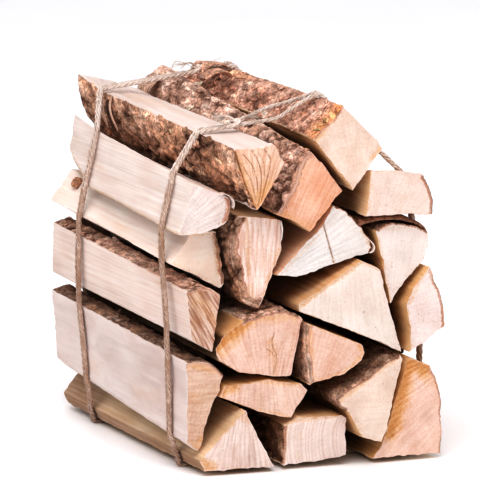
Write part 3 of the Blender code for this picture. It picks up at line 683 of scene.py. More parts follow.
def smooth_path(points, count):
    """Points along a smooth curve through given ones: each stretch is a cubic that leaves for the next."""
    given = np.array(points, float)
    given = np.concatenate([[2 * given[0] - given[1]], given, [2 * given[-1] - given[-2]]])
    place = np.linspace(0, len(given) - 3 - 1e-6, count)
    first, t = place.astype(int), (place % 1)[:, None]
    a, b, c, d = (given[first + n] for n in range(4))
    square, cube = 2 * a - 5 * b + 4 * c - d, 3 * b - a - 3 * c + d
    return 0.5 * (2 * b + (c - a) * t + square * t ** 2 + cube * t ** 3)


def gap_to_stretch(x, z, ax, az, bx, bz):
    """Distance from each point to the straight stretch from a to b."""
    long = max((bx - ax) ** 2 + (bz - az) ** 2, 1e-6)
    share = np.clip(((x - ax) * (bx - ax) + (z - az) * (bz - az)) / long, 0, 1)
    return np.hypot(x - ax - share * (bx - ax), z - az - share * (bz - az))


def crack_depth(x, z, cracks):
    """Up to 1 in the middle of a crack, 0 beside it."""
    deepest = np.zeros(x.shape)
    for half_width, strength, *line in cracks:
        curve = smooth_path(line, 6 * len(line))
        gap = np.full(x.shape, FAR)
        for (ax, az), (bx, bz) in zip(curve[:-1], curve[1:]):
            gap = np.minimum(gap, gap_to_stretch(x, z, ax, az, bx, bz))
        deepest = np.maximum(deepest, strength * np.exp(-(gap / half_width) ** 2))
    return deepest


def stain_share(points, stains, seed):
    """How brown each point of an end is: 1 on a stain's stretch, less out to its ragged edge."""
    x, z = points[..., 0], points[..., 2]
    ragged = 1 + 0.45 * rough(points, (5, 40, 5), seed)
    total = np.zeros(x.shape)
    for ax, az, bx, bz, radius, strength in stains:
        gap = gap_to_stretch(x, z, ax, az, bx, bz) * ragged
        total = np.maximum(total, strength * (1 - ramp(gap / radius, 0.1, 1.15)))
    return total


def rim_depth(x, z, rim, is_bark):
    """Distance in mm from the nearest bark of the rim; far where an end has none."""
    bark = rim[is_bark][::2]
    if len(bark) == 0:
        return np.full(x.shape, FAR)
    return np.sqrt(((x[..., None] - bark[:, 0]) ** 2 + (z[..., None] - bark[:, 1]) ** 2).min(axis=-1))


def cap_rows(rim, centre, count):
    """Rings from near an end's centre out to its rim, without the rim itself."""
    share = (np.arange(1, count) / count)[:, None, None]
    return centre + (rim - centre) * share


def side_colours(log, letters, tone, points, from_end, seed):
    """The colour of split wood at each point of a log's sides, by the letter of its side, with painted shade
    deep in the gaps.
    """
    pale, gap_glow = surface(log.split), surface(PAINTED_GAP_GLOW)
    # G paints a golden glow of light bounced in a gap onto split wood, and D paints shade.
    base = {"P": pale, "G": 0.35 * pale + 0.65 * gap_glow, "H": surface(HONEY), "W": surface(WEATHERED),
            "D": surface(PAINTED_GAP_SHADE) * 0.6, "B": pale}
    colours = np.stack([base[letter] for letter in SIDES])[[SIDES.index(letter) for letter in letters]]
    colours = softened(np.broadcast_to(colours, (1, *colours.shape)), 3)
    # Painted shade: split wood in a gap darkens the farther it lies from the ends.
    in_gap = softened((letters == "G").astype(float)[None, :], 3)[..., None]
    painted_shade = ramp(from_end[..., None] + 8 * rough(points, (9, 30, 9), seed + 1)[..., None], *GAP_DEPTH)
    colours = colours + (surface(PAINTED_GAP_SHADE) - colours) * 0.75 * painted_shade * in_gap
    brown = log.weathered * ramp(points[..., 1] + 16 * rough(points, (9, 50, 9), seed + 2), 45, 95)[..., None]
    colours = colours + (surface(WEATHERED) * 0.92 - colours) * brown
    warm = ramp(rough(points, (12, 60, 12), seed), 0.1, 0.6)[..., None]
    return np.clip(colours * tone[..., None] * (1 - warm * (0.02, 0.06, 0.10)), 0, BRIGHTEST)


def end_cap(log, rim, is_bark, toward, count, seed):
    """An end's rings from near its centre to its rim, roughened, and the numbers its material reads."""
    cap = cap_rows(rim, rim.mean(axis=0), count)
    x, z = cap[..., 0], cap[..., 2]
    front = toward < 0
    across_saw = x * np.cos(seed) + z * np.sin(seed)
    saw = np.sin(across_saw * 2 * np.pi / SAW_PITCH + 2 * waves(cap, (9, 9, 9), seed))
    torn = rough(cap, (1.6, 5, 1.6), seed + 13)
    crack = crack_depth(x, z, log.cracks if front else ())
    stain = stain_share(cap, log.stains, seed + 14)
    lift = 0.06 * saw + (0.12 + 0.45 * log.fibrous + 0.6 * stain) * torn - 2.2 * crack - 0.8 * stain
    fade = np.minimum(1, (count - np.arange(1, count)) / 2)[:, None]
    rind = rim_depth(x, z, rim[:, [0, 2]], is_bark)
    cap[..., 1] += toward * lift * fade
    crust, inner = log.rim
    uneven = 1 + 0.3 * rough(cap, (6, 30, 6), seed + 16, 2)
    return cap, {"crack": crack, "stain": stain, "rind": rind, "rim": (rind - crust * uneven) / inner}


def check_place(name, points):
    """Stops when a log's surface strays from the solid that it is drawn round."""
    solid = frame_points(name).reshape(-1, 3)
    strayed = np.abs([points.min(axis=0) - solid.min(axis=0), points.max(axis=0) - solid.max(axis=0)]).max()
    if strayed > MOST_STRAYED:
        raise RuntimeError(f"{name} is {strayed:.1f} mm off its solid")


def build_log(name, settings, materials):
    """One closed surface: a cap of shrinking rings, the sides, and the other cap, pushed out by relief."""
    log = LOGS[name]
    coarse = settings.coarseness
    seed = LOG_SEEDS * (1 + list(LOGS).index(name))
    sides, outward, side, from_end, from_edge = side_grid(name, log, CELL_AROUND * coarse, CELL_ALONG * coarse)
    around = sides.shape[1]
    letters = np.array(list(log.sides))[side]
    is_bark = letters == "B"
    bark_share = softened(np.broadcast_to(is_bark.astype(float), (1, around)), 2)[0]
    ragged = rough(sides, (7, 12, 7), seed + 11, 2)
    bark_share = np.clip(bark_share[None, :] * 1.5 - 0.4 + 0.5 * ragged * (bark_share < 0.98), 0, 1)

    bark_height, bark_colours = bark_relief(sides, log, seed)
    split_height, split_tone = split_relief(sides, seed + 1)
    bark_height = bark_height * (0.4 + 0.6 * ramp(from_end, 0, 14)) * settings.bark_relief
    height = np.where(bark_share > 0.5, bark_height, split_height * settings.split_relief)
    height = softened(height, 1) + chips(sides, from_end, from_edge, seed + 21)
    relief = sides + outward * height[..., None]
    relief[..., 2] = np.maximum(relief[..., 2], REST)
    split_colours = side_colours(log, letters, split_tone, sides, from_end, seed + 23)
    if log.orange:
        depth = (sides[..., 1] - sides[0, :, 1] + 5 * ragged) / log.orange
        glow = 0.75 * (1 - ramp(depth, 0.0, 1.3))[..., None]
        raw = surface(RAW_BARK) * (0.6 + 0.8 * bark_colours) * 1.15
        bark_colours = bark_colours * (1 - glow) + raw * glow

    radius = np.linalg.norm(sides[0] - sides[0].mean(axis=0), axis=1).mean()
    count = max(6, int(radius / (CELL_END * coarse)))
    front, front_numbers = end_cap(log, relief[0], is_bark, -1, count, seed)
    back, back_numbers = end_cap(log, relief[-1], is_bark, 1, count, seed + 1)
    poles = [relief[0].mean(axis=0), relief[-1].mean(axis=0)]
    points, quads, fans = closed_surface(np.concatenate([front, relief, back[::-1]]), poles)
    check_place(name, points)
    obj = add_mesh(name.replace("log_", "birch_"), points, quads, fans)

    mesh = obj.data
    cap_size = (count - 1) * around
    on_end = np.zeros(len(mesh.polygons), np.int32)
    on_end[:cap_size] = 1
    on_end[len(quads) - cap_size:] = 1
    for material in materials:
        mesh.materials.append(material)
    mesh.polygons.foreach_set("material_index", on_end)
    mesh.set_sharp_from_angle(angle=np.radians(settings.sharp_angle))

    on_sides = {"crack": 0.0, "stain": 0.0, "rind": np.where(is_bark, 0.0, 9.0),
                "rim": np.where(is_bark, -1.0, 9.0)}
    for key, value in on_sides.items():
        own = front_numbers[key], np.broadcast_to(value, sides.shape[:2]), back_numbers[key][::-1]
        tips = [front_numbers[key][0].mean(), back_numbers[key][0].mean()]
        set_number(mesh, key, np.concatenate([*(part.ravel() for part in own), tips]))
    set_tree_numbers(mesh, log, points, seed)
    bark = [np.zeros(cap_size), bark_share.ravel(), np.zeros(cap_size + 2)]
    set_number(mesh, "bark", np.concatenate(bark))
    bark_ends = [bark_relief(part, log, seed)[1] for part in (points[:cap_size], points[-cap_size - 2:])]
    set_colour(mesh, "bark_colour", np.concatenate([bark_ends[0], bark_colours.reshape(-1, 3), bark_ends[1]]))
    plain = np.broadcast_to(surface(log.split), (cap_size + 2, 3))
    set_colour(mesh, "split_colour", np.concatenate([plain[:cap_size], split_colours.reshape(-1, 3), plain]))
    end_tone = 1 + 0.05 * rough(points, (16, 16, 16), seed + 19, 2)
    end_colours = surface(log.end) * END_LIGHT * log.end_light * end_tone[:, None]
    set_colour(mesh, "end_colour", np.clip(end_colours, 0, BRIGHTEST_END))
    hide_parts(name)
    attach(obj, "root")
    if settings.flakes and is_bark.any():
        build_flakes(name, relief, outward, bark_colours, bark_share, materials[0], settings)


def set_tree_numbers(mesh, log, points, seed):
    """Each point's distance from the tree's middle and way round it, and how strongly both show."""
    x, z = points[:, 0], points[:, 2]
    px, pz = log.pith
    wobble = rough(points, (14, 60, 14), seed + 15, 2)
    away = np.hypot(x - px, z - pz)
    turn = np.arctan2(z - pz, x - px) - np.arctan2(z.mean() - pz, x.mean() - px)
    turn = (turn + np.pi) % (2 * np.pi) - np.pi
    set_number(mesh, "ring", away + 1.2 * wobble)
    set_number(mesh, "ray", turn * away.mean() + 0.8 * wobble)
    set_number(mesh, "rays", np.full(len(points), log.rays))
    set_number(mesh, "rings", np.full(len(points), log.rings))


# Loose bark and slivers

FLAKES = {
    # name: flakes of bark that lift off it
    "log_top_left": 70, "log_top_middle": 90, "log_top_right": 90, "log_left_middle": 20,
    "log_left_lower": 24, "log_upright_wedge": 20, "log_centre_left": 10, "log_right_lower": 24,
    "log_right_upper": 10, "log_base_right": 16, "log_right_middle": 12, "log_base_middle": 8,
}
FLAKE_RING, FLAKE_ROWS = 8, 7
FREE_FRONT, FREE_BACK = 3, 9   # rows of a log's grid beside its ends that have no flakes


def build_flakes(name, relief, outward, bark_colours, bark_share, material, settings):
    """Small closed plates on a log's bark, each curled up at one end: an ellipse with a thin section."""
    count = int(FLAKES.get(name, 0) * settings.flakes)
    if not count:
        return
    rng = np.random.default_rng(FLAKE_SEED + list(LOGS).index(name))
    rows, columns = np.nonzero(bark_share[FREE_FRONT:-FREE_BACK] > 0.9)
    pick = rng.integers(0, len(rows), count)
    rows, columns = rows[pick] + FREE_FRONT, columns[pick]
    centre, normal = relief[rows, columns], outward[rows, columns]
    along = ALONG_LOGS + 0.35 * rng.normal(size=(count, 3))
    along = unit(along - normal * (along * normal).sum(axis=1, keepdims=True))
    across = np.cross(along, normal)
    half_length, half_width = rng.uniform(2.5, 7, count), rng.uniform(1.2, 3.2, count)
    curl = rng.uniform(0.2, 1.6, count)
    u = np.linspace(-1, 1, FLAKE_ROWS)[None, :, None]
    angle = np.arange(FLAKE_RING)[None, None, :] * 2 * np.pi / FLAKE_RING
    narrow = np.sqrt(1 - 0.9 * u ** 2) * (1 + 0.25 * rng.normal(size=(count, FLAKE_ROWS, 1)))
    wide = np.cos(angle) * narrow * half_width[:, None, None]
    curled = curl[:, None, None] * (0.5 * (u + 0.6) ** 2)
    rise = 0.35 * np.sin(angle) * narrow + curled - 0.15 * wide ** 2 / 3 + 0.3
    points = (centre[:, None, None] + along[:, None, None] * (u * half_length[:, None, None])[..., None]
              + across[:, None, None] * wide[..., None] + normal[:, None, None] * rise[..., None])
    each = FLAKE_ROWS * FLAKE_RING
    quads = repeated(tube_quads(FLAKE_ROWS, FLAKE_RING), each, count)
    obj = add_mesh(name.replace("log_", "flakes_"), points.reshape(-1, 3), quads)
    lighter = rng.uniform(0.7, 1.45, (count, 1))
    shade = np.clip(bark_colours[rows, columns] * lighter, 0, BRIGHTEST_FLAKE)
    dress_bark(obj, np.repeat(shade, each, axis=0), 1.0, material)


def dress_bark(obj, shade, bark, material):
    """The numbers and colours that the side material reads, on a small piece."""
    mesh = obj.data
    count = len(mesh.vertices)
    set_number(mesh, "bark", np.full(count, bark))
    set_number(mesh, "ring", np.linspace(0, 9, count))
    set_colour(mesh, "bark_colour", shade)
    set_colour(mesh, "split_colour", shade)
    mesh.materials.append(material)
    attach(obj, "root")


PEELS = {
    # name: (half width along the log, thickness, bark share, screen colour, points (X, Y, Z))
    "slab_right_upper": (30, 4.0, 1.0, (132, 84, 62), [
        (42.5, -118, 181.5), (47, -118, 185), (60, -118, 187.2), (74, -118, 186.6), (86, -118, 183.2),
        (94, -118, 178.5), (100, -118, 171)]),
    "curl_fan_wedge": (2.4, 0.8, 0.0, (246, 228, 218), [
        (49.6, -142.5, 172), (52.6, -143.4, 169.5), (54.6, -144, 166), (53.9, -144, 162.6), (51, -144, 161)]),
    "peel_left_upper": (5, 0.9, 0.0, (240, 222, 214), [
        (-72, -145, 213.8), (-68, -147, 213.9), (-64.3, -148.2, 212), (-61.8, -148.4, 207.8),
        (-61.9, -148, 203)]),
    "sliver_upright_wedge": (1.2, 0.9, 0.0, (248, 234, 228), [
        (-20.3, -142.4, 190), (-19.4, -142.8, 183), (-20, -142.6, 174.5)]),
    "strip_top_left_back": (2.2, 1.0, 0.0, (206, 164, 142), [
        (-76.5, 94, 257), (-78.4, 92, 250), (-77.8, 89, 240), (-75.5, 86, 231)]),
    "strip_top_left_front": (1.8, 1.0, 0.0, (206, 164, 142), [
        (-76, 78, 256.5), (-77.8, 76, 249), (-77, 73, 241), (-74, 68, 231)]),
    # A dark strip between the two pale strips: painted shade.
    "shadow_strip_top_left": (3.2, 0.8, 1.0, (52, 28, 18), [
        (-75.6, 85, 254), (-77.2, 83, 248), (-76.6, 80, 240), (-73.8, 76, 230)]),
    "flake_top_ridge": (9, 1.8, 1.0, (204, 146, 118), [
        (-5, 62, 270.5), (2, 60, 274.6), (10, 58, 275), (16, 56, 270)]),
    "flake_top_ridge_back": (7, 1.6, 1.0, (206, 150, 122), [
        (4, 92, 271), (10, 90, 276), (18, 88, 276.4), (25, 86, 273)]),
    "flap_top_middle": (13, 1.4, 1.0, (192, 148, 126), [
        (-29.5, 136, 244), (-27.5, 136, 252), (-22, 136, 258.5), (-16, 136, 263)]),
    "knob_left_wedge": (5, 5, 1.0, (176, 116, 84), [
        (-87, 119, 186.5), (-90, 119, 184), (-92, 119, 179.5)]),
    # Dark bark-speckled sheets along the gaps between logs: painted shade.
    "shade_sheet_left_upper": (128, 1.4, 1.0, (70, 44, 32), [
        (-60, 12, 118), (-60, 12, 131), (-58.6, 12, 146)]),
    "shade_sheet_left_back": (34, 1.4, 1.0, (70, 44, 32), [
        (-78, 112, 142), (-78, 112, 149), (-78, 112, 156)]),
    "shade_sheet_top": (122, 1.4, 1.0, (70, 44, 32), [
        (-52, 14, 192), (-51.5, 14, 202), (-52, 14, 213)]),
    "shade_sheet_left_lower": (128, 1.4, 1.0, (70, 44, 32), [
        (-70, 12, 75), (-71, 12, 83), (-72, 12, 91)]),
    "shade_sheet_right": (138, 1.4, 1.0, (70, 44, 32), [
        (82, 0, 78), (82, 0, 83), (82, 0, 88)]),
}
PEEL_RING = 28


def build_peels(material, settings):
    """Strips that stand off the logs: a flat rounded section carried along a curve, wide along Y."""
    for order, (name, (half_width, thickness, bark, screen, line)) in enumerate(PEELS.items()):
        path = smooth_path(line, max(10, int(12 * len(line) / settings.coarseness)))
        ahead = unit(np.gradient(path, axis=0))
        across = unit(ALONG_LOGS - ahead * ahead[:, 1:2])
        up = np.cross(across, ahead)
        angle = np.arange(PEEL_RING) * 2 * np.pi / PEEL_RING
        wide, thick = (np.sign(v) * np.abs(v) ** 0.5 for v in (np.cos(angle), np.sin(angle)))
        taper = (1 - 0.55 * np.linspace(-1, 1, len(path)) ** 4)[:, None]
        grid = (path[:, None] + across[:, None] * (wide * half_width * taper ** 0.3)[..., None]
                + up[:, None] * (thick * thickness / 2 * taper)[..., None])
        lumps = 0.3 * rough(grid, (3, 6, 3), PEEL_SEED + order)
        grid += up[:, None] * lumps[..., None] * min(1, thickness / 2)
        points, quads, fans = closed_surface(grid, [grid[0].mean(axis=0), grid[-1].mean(axis=0)])
        obj = add_mesh(name, points, quads, fans)
        shade = surface(screen) * (1 + 0.25 * rough(points, (5, 9, 5), PEEL_SEED + 50 + order)[:, None])
        dress_bark(obj, np.clip(shade, 0, BRIGHTEST), bark, material)


# Twine

TWINE_RADIUS, WOOD_TO_TWINE = 1.5, 0.3
TURN_PITCH, LEFT_SPREAD, TURN_ROOM, TURN_HANG = 3.8, 1.6, 28.0, 0.25
LAST_STRAY = 1.5        # how far the turns still stray apart well to the right of the knot
ROUND_STEP = 4.0        # mm between points on the way round the stack
CELL_TWINE = 1.2        # mm, the finest step along a band
# name: (Y on top and on the right, its (Z, Y) down the left side, X of its knot, X and depth of its sag, and
# how far each turn strays to the right of the knot)
BANDS = {
    "twine_front": (
        -103.0, [(3, -109), (20, -117), (115, -119), (160, -113), (182, -113), (226, -104), (252, -103)],
        -41.0, -38.0, 5.0, 13.0),
    "twine_back": (
        97.0, [(3, 76), (20, 67), (70, 71), (125, 78), (182, 76), (232, 80), (257, 98)],
        3.0, 3.0, 0.0, 3.8),
}
LEFT_SIDE = 85.0
SAG_ENDS = (-71.0, 24.0)
PLIES, PLY_PITCH, PLY_RADIUS, PLY_OFFSET, PLY_RING = 3, 15.0, 0.90, 0.86, 8
KNOT_SIZE, KNOT_LIFT, KNOT_ROWS, KNOT_CORD = (5.0, 5.2, 2.6), 1.8, 90, 1.35
TAIL_LENGTH, TAIL_SWEEP, TAIL_LIFTS, TAIL_ARC, TAIL_ROWS = 13.0, 4.0, (5.0, 3.5), 2.2, 14
FRAYED = {"twine_front": (70, 1.0), "twine_back": (14, 0.6)}   # a tail's fibres, and how thick the tail is
FRAY_ROW, FRAY_ROWS = 9, 9                                     # the row of a tail where they leave it
HAIR_STEPS, HAIR_SIDES, HAIR_RADIUS = 6, 4, 0.13
HAIRS, LONG_HAIRS_SHARE = 1500, 5                              # one in this many hairs is a long one
HAIR_LENGTHS, HAIR_LIFTS = (11.0, 16.0), (0.8, 2.2)            # mm, of the short and of the long ones
WHISKER_ROWS = 16
TOP_LIT_HEIGHTS = (175.0, 245.0)   # mm over the floor: painted light and shade, the twine browner below the first and paler over the second
TIP = 0.15              # a cord's radius at its ends, as a share


def frame_points(node):
    """A frame node's triangles in the stack's mm, as an array (triangle, corner, XYZ)."""
    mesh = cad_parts[node].data
    points = np.empty(len(mesh.vertices) * 3)
    mesh.vertices.foreach_get("co", points)
    mesh.calc_loop_triangles()
    corners = np.empty(len(mesh.loop_triangles) * 3, np.int32)
    mesh.loop_triangles.foreach_get("vertices", corners)
    return (points.reshape(-1, 3) / MM + MIDDLE)[corners].reshape(-1, 3, 3)


def cut_outline(triangles, y):
    """Where the plane at y cuts the triangles' edges, as points (X, Z)."""
    found = []
    for i in range(3):
        a, b = triangles[:, i], triangles[:, (i + 1) % 3]
        rise = b[:, 1] - a[:, 1]
        share = (y - a[:, 1]) / np.where(np.abs(rise) < 1e-9, 1e-9, rise)
        hit = (share >= 0) & (share <= 1)
        found.append((a + (b - a) * share[:, None])[hit][:, [0, 2]])
    return np.concatenate(found)


def convex_hull(points):
    """Corners of the convex hull of 2D points, anticlockwise: its lower and upper half, each turning left."""
    points = sorted({tuple(p) for p in np.round(points, 2).tolist()})
    halves = []
    for run in (points, points[::-1]):
        chain = []
        for p in run:
            while len(chain) > 1:
                (ax, az), (bx, bz) = chain[-2:]
                if (bx - ax) * (p[1] - bz) - (bz - az) * (p[0] - bx) > 0:
                    break
                chain.pop()
            chain.append(p)
        halves += chain[:-1]
    return np.array(halves)


def loop_round(hull, gap):
    """A closed path at a distance outside a hull, with its outward directions: an arc round each corner."""
    path, normals = [], []
    run = np.roll(hull, -1, axis=0) - hull
    out = unit(np.stack([run[:, 1], -run[:, 0]], axis=1))
    for i, corner in enumerate(hull):
        turn = np.arccos(np.clip(out[i - 1] @ out[i], -1, 1))
        for share in np.linspace(0, 1, 2 + int(turn / np.radians(12))):
            direction = out[i - 1] * (1 - share) + out[i] * share
            direction = direction / np.linalg.norm(direction)
            path.append(corner + direction * gap)
            normals.append(direction)
    return np.array(path), np.array(normals)


def spaced(path, normals, step):
    """The path with points added along its straight runs."""
    points, faced = [], []
    for i in range(len(path)):
        a, b = path[i], path[(i + 1) % len(path)]
        count = max(1, round(np.linalg.norm(b - a) / step))
        points += [a + (b - a) * j / count for j in range(count)]
        faced += [normals[i]] * count
    return np.array(points), np.array(faced)


def lengths_to(line):
    """How far along a line each of its points is."""
    return np.concatenate([[0], np.cumsum(np.linalg.norm(np.diff(line, axis=0), axis=1))])


def read_along(at, run, values):
    """Vectors given at each point of a run, read at other places along it."""
    return np.stack([np.interp(at, run, values[:, i]) for i in range(3)], axis=-1)


def twice_round(path, normals, band):
    """The band's centre line and outward directions. Its turns meet at the knot and stray apart beside it."""
    y_band, left_side, knot_x, sag_x, sag, stray = band
    first = max(i for i in range(len(path)) if normals[i, 1] > 0.5 and path[i, 0] > knot_x)
    after = (first + 1) % len(path)
    share = (knot_x - path[first, 0]) / (path[after, 0] - path[first, 0])
    start = path[first] + (path[after] - path[first]) * share
    order = [(first + 1 + n) % len(path) for n in range(len(path))]
    line = np.vstack([start, path[order], start, path[order], start])
    faced = np.vstack([normals[first], normals[order], normals[first], normals[order], normals[first]])
    run = lengths_to(line)
    turns = 2 * run / run[-1]
    on_top = np.clip(faced[:, 1], 0, 1)
    beside = (line[:, 0] - knot_x) / TURN_ROOM
    to_right = np.interp(beside, (0, 1, 2), (0, stray, LAST_STRAY))
    apart = on_top * (np.clip(-beside, 0, 1) * LEFT_SPREAD + to_right)
    leftness = np.clip(-line[:, 0] / LEFT_SIDE, 0, 1)
    y = y_band + (np.interp(line[:, 1], *np.transpose(left_side)) - y_band) * leftness
    y += (turns - 1) * TURN_PITCH + apart * np.where(turns < 1, -1, 1)
    drop = np.interp(line[:, 0], (SAG_ENDS[0], sag_x, SAG_ENDS[1]), (0, sag, 0)) * (on_top > 0)
    drop += TURN_HANG * apart * (turns < 1) * (beside > 0)
    centres = np.stack([line[:, 0], y, line[:, 1] - drop], axis=1)
    return centres, np.stack([faced[:, 0], 0 * y, faced[:, 1]], axis=1)


def band_path(name, step):
    """The band's centre line at even steps, from the frame's logs."""
    logs = np.concatenate([frame_points(log) for log in LOGS])
    wander = sorted({BANDS[name][0], *(y for _, y in BANDS[name][1])})
    cuts = [cut_outline(logs, y + d) for y in wander for d in (-TURN_PITCH, TURN_PITCH)]
    hull = convex_hull(np.vstack(cuts))
    centres, facing = twice_round(*spaced(*loop_round(hull, WOOD_TO_TWINE + TWINE_RADIUS), ROUND_STEP),
                                  BANDS[name])
    centres[:, 2] = np.where(centres[:, 2] < REST, TWINE_RADIUS, centres[:, 2])
    run = lengths_to(centres)
    even = np.linspace(0, run[-1], int(run[-1] / step))
    return read_along(even, run, centres), read_along(even, run, facing), even


def along_path(centres, facing):
    """Two directions across a path at each of its points: outwards from the stack, and along the logs."""
    ahead = unit(np.gradient(centres, axis=0))
    up = unit(facing - ahead * (facing * ahead).sum(axis=1, keepdims=True))
    return up, np.cross(up, ahead)


def tube_points(centres, up, across, radius, sides):
    """A tube round a path: a circle carried along it, with its radius given at each point."""
    angle = np.arange(sides) * 2 * np.pi / sides
    radius = np.broadcast_to(radius, (len(centres), sides))[..., None]
    return centres[:, None] + radius * (np.cos(angle)[None, :, None] * up[:, None]
                                        + np.sin(angle)[None, :, None] * across[:, None])


def twine_material(name, settings):
    """Jute: fine fibres that follow the ply, with pale, brown and dark ones mixed, and paler higher up as
    painted light.
    """
    made, tree, shader, place = new_material(name, 0.9)
    shader.inputs["Sheen Weight"].default_value = 0.25
    fibre = streaks(tree, 4.0, (number(tree, "turn"), 1.6), (number(tree, "along"), 0.12), scale=2.0)
    slow = add(tree, "TexNoise", {"Vector": place, "Scale": 40.0, "Detail": 2.0}).outputs["Fac"]
    share = plus(tree, spread(tree, fibre, 0.37, 0.63, -0.12, 1.05), spread(tree, slow, 0.3, 0.7, -0.2, 0.2),
                 spread(tree, number(tree, "height"), *TOP_LIT_HEIGHTS, -0.28, 0.32))
    base = mixed(tree, spread(tree, share, 0, 1), (*settings.twine_dark, 1), (*settings.twine_light, 1))
    finish_shader(tree, shader, base, fibre, 0.7, 0.0004)
    return made


def joined(parts):
    """Several grids of points with their face corners as one set."""
    points, quads, first = [], [], 0
    for grid, faces in parts:
        points.append(grid.reshape(-1, 3))
        quads.append(faces + first)
        first += len(points[-1])
    return np.concatenate(points), np.concatenate(quads)


def hairs(centres, facing, run, count, rng, longest, loose):
    """Fibres that stray from a cord: each follows it for a while and drifts off, thinning to its tip."""
    start = rng.uniform(0, run[-1], count)[:, None]
    length = rng.uniform(0.3, 1, count)[:, None] * longest * rng.choice((-1, 1), count)[:, None]
    share = np.linspace(0, 1, HAIR_STEPS)[None, :]
    at = np.clip(start + length * share, 0, run[-1])
    up, across = along_path(centres, facing)
    angle = rng.normal(0, 1.1, count)[:, None] + share * rng.normal(0, 1.0, count)[:, None]
    out = (read_along(at, run, up) * np.cos(angle)[..., None]
           + read_along(at, run, across) * np.sin(angle)[..., None])
    lift = 1.2 + share ** 2 * np.minimum(rng.exponential(loose, count), 3 * loose)[:, None]
    middle = read_along(at, run, centres) + out * lift[..., None]
    side = np.cross(out, np.gradient(middle, axis=1))
    side /= np.linalg.norm(side, axis=-1, keepdims=True) + 1e-9
    turn = np.arange(HAIR_SIDES) * 2 * np.pi / HAIR_SIDES
    radius = (HAIR_RADIUS * (1 - 0.75 * share))[..., None, None]
    circle = np.cos(turn)[:, None] * out[:, :, None] + np.sin(turn)[:, None] * side[:, :, None]
    grid = middle[:, :, None] + radius * circle
    quads = repeated(tube_quads(HAIR_STEPS, HAIR_SIDES), HAIR_STEPS * HAIR_SIDES, count)
    return grid.reshape(-1, 3), quads


def cord(path, up_hint, radius, sides=8):
    """A closed cord round a path, its radius given at each point; its ends are closed to near points."""
    rows = len(path)
    radius = np.array(np.broadcast_to(radius, rows), float)
    radius[[0, -1]] *= TIP
    up, across = along_path(path, np.broadcast_to(np.asarray(up_hint, float), path.shape))
    return tube_points(path, up, across, radius[:, None], sides), tube_quads(rows, sides)


def knot_parts(name, centres, rng):
    """An overhand knot, as a flattened trefoil, with two tails that fray into fans of fibres."""
    fibres, thickness = FRAYED[name]
    knot = centres[0] + (0, TURN_PITCH, KNOT_LIFT)
    t = np.linspace(0, 2 * np.pi, KNOT_ROWS)
    trefoil = [np.sin(t) + 2 * np.sin(2 * t), np.cos(t) - 2 * np.cos(2 * t), -3 * np.sin(3 * t)]
    trefoil = np.stack(trefoil, axis=-1) / 3
    parts = [cord(knot + trefoil * KNOT_SIZE * (0.8, 0.8, 0.55), (0, 0.3, 1), KNOT_CORD)]
    share = np.linspace(0, 1, TAIL_ROWS)[:, None]
    out = np.linspace(0, 1, FRAY_ROWS)[:, None]
    for way, lift in zip((-1, 1), TAIL_LIFTS):
        rise = np.sin(share * TAIL_ARC) * lift
        tail = knot + share * (way * TAIL_LENGTH, way * TAIL_SWEEP, 0) + rise * (0, 0, 1)
        parts.append(cord(tail, (0, 0.2, 1), np.linspace(1.2, 0.7, TAIL_ROWS) * thickness))
        for _ in range(fibres):
            drift = rng.normal(0, 1, 3) * (3.0, 4.6, 1.8) + (way * 4.0, 0, 0)
            fibre = tail[FRAY_ROW] + out * (tail[-1] - tail[FRAY_ROW]) + out ** 1.6 * drift
            parts.append(cord(fibre, (0.1, 0.2, 1), np.linspace(0.24, 0.1, FRAY_ROWS), 4))
    return parts


WHISKERS = {
    # name: fibres that stand off the twine, as (radius, points (X, Y, Z))
    "twine_front": (
        (0.35, [(22, -104, 277), (24, -103, 279.5), (28.9, -103, 278.4)]),
        (0.3, [(20, -101, 277), (22.4, -103, 279.8), (25, -106, 279)]),
        (0.3, [(16, -104, 276.5), (21, -108, 279), (26, -111, 279.4)])),
    "twine_back": (
        (0.4, [(-19, 96, 273), (-15.4, 97, 278.5), (-6.2, 97, 276.2), (-2, 96, 273)]),
        (0.35, [(20, 97, 274), (24.7, 97, 275.2), (31, 97, 274.6), (37.8, 97, 273.3)]),
        (0.35, [(2, 95, 274), (-4, 94, 277.6), (-12, 93, 276.5)])),
}


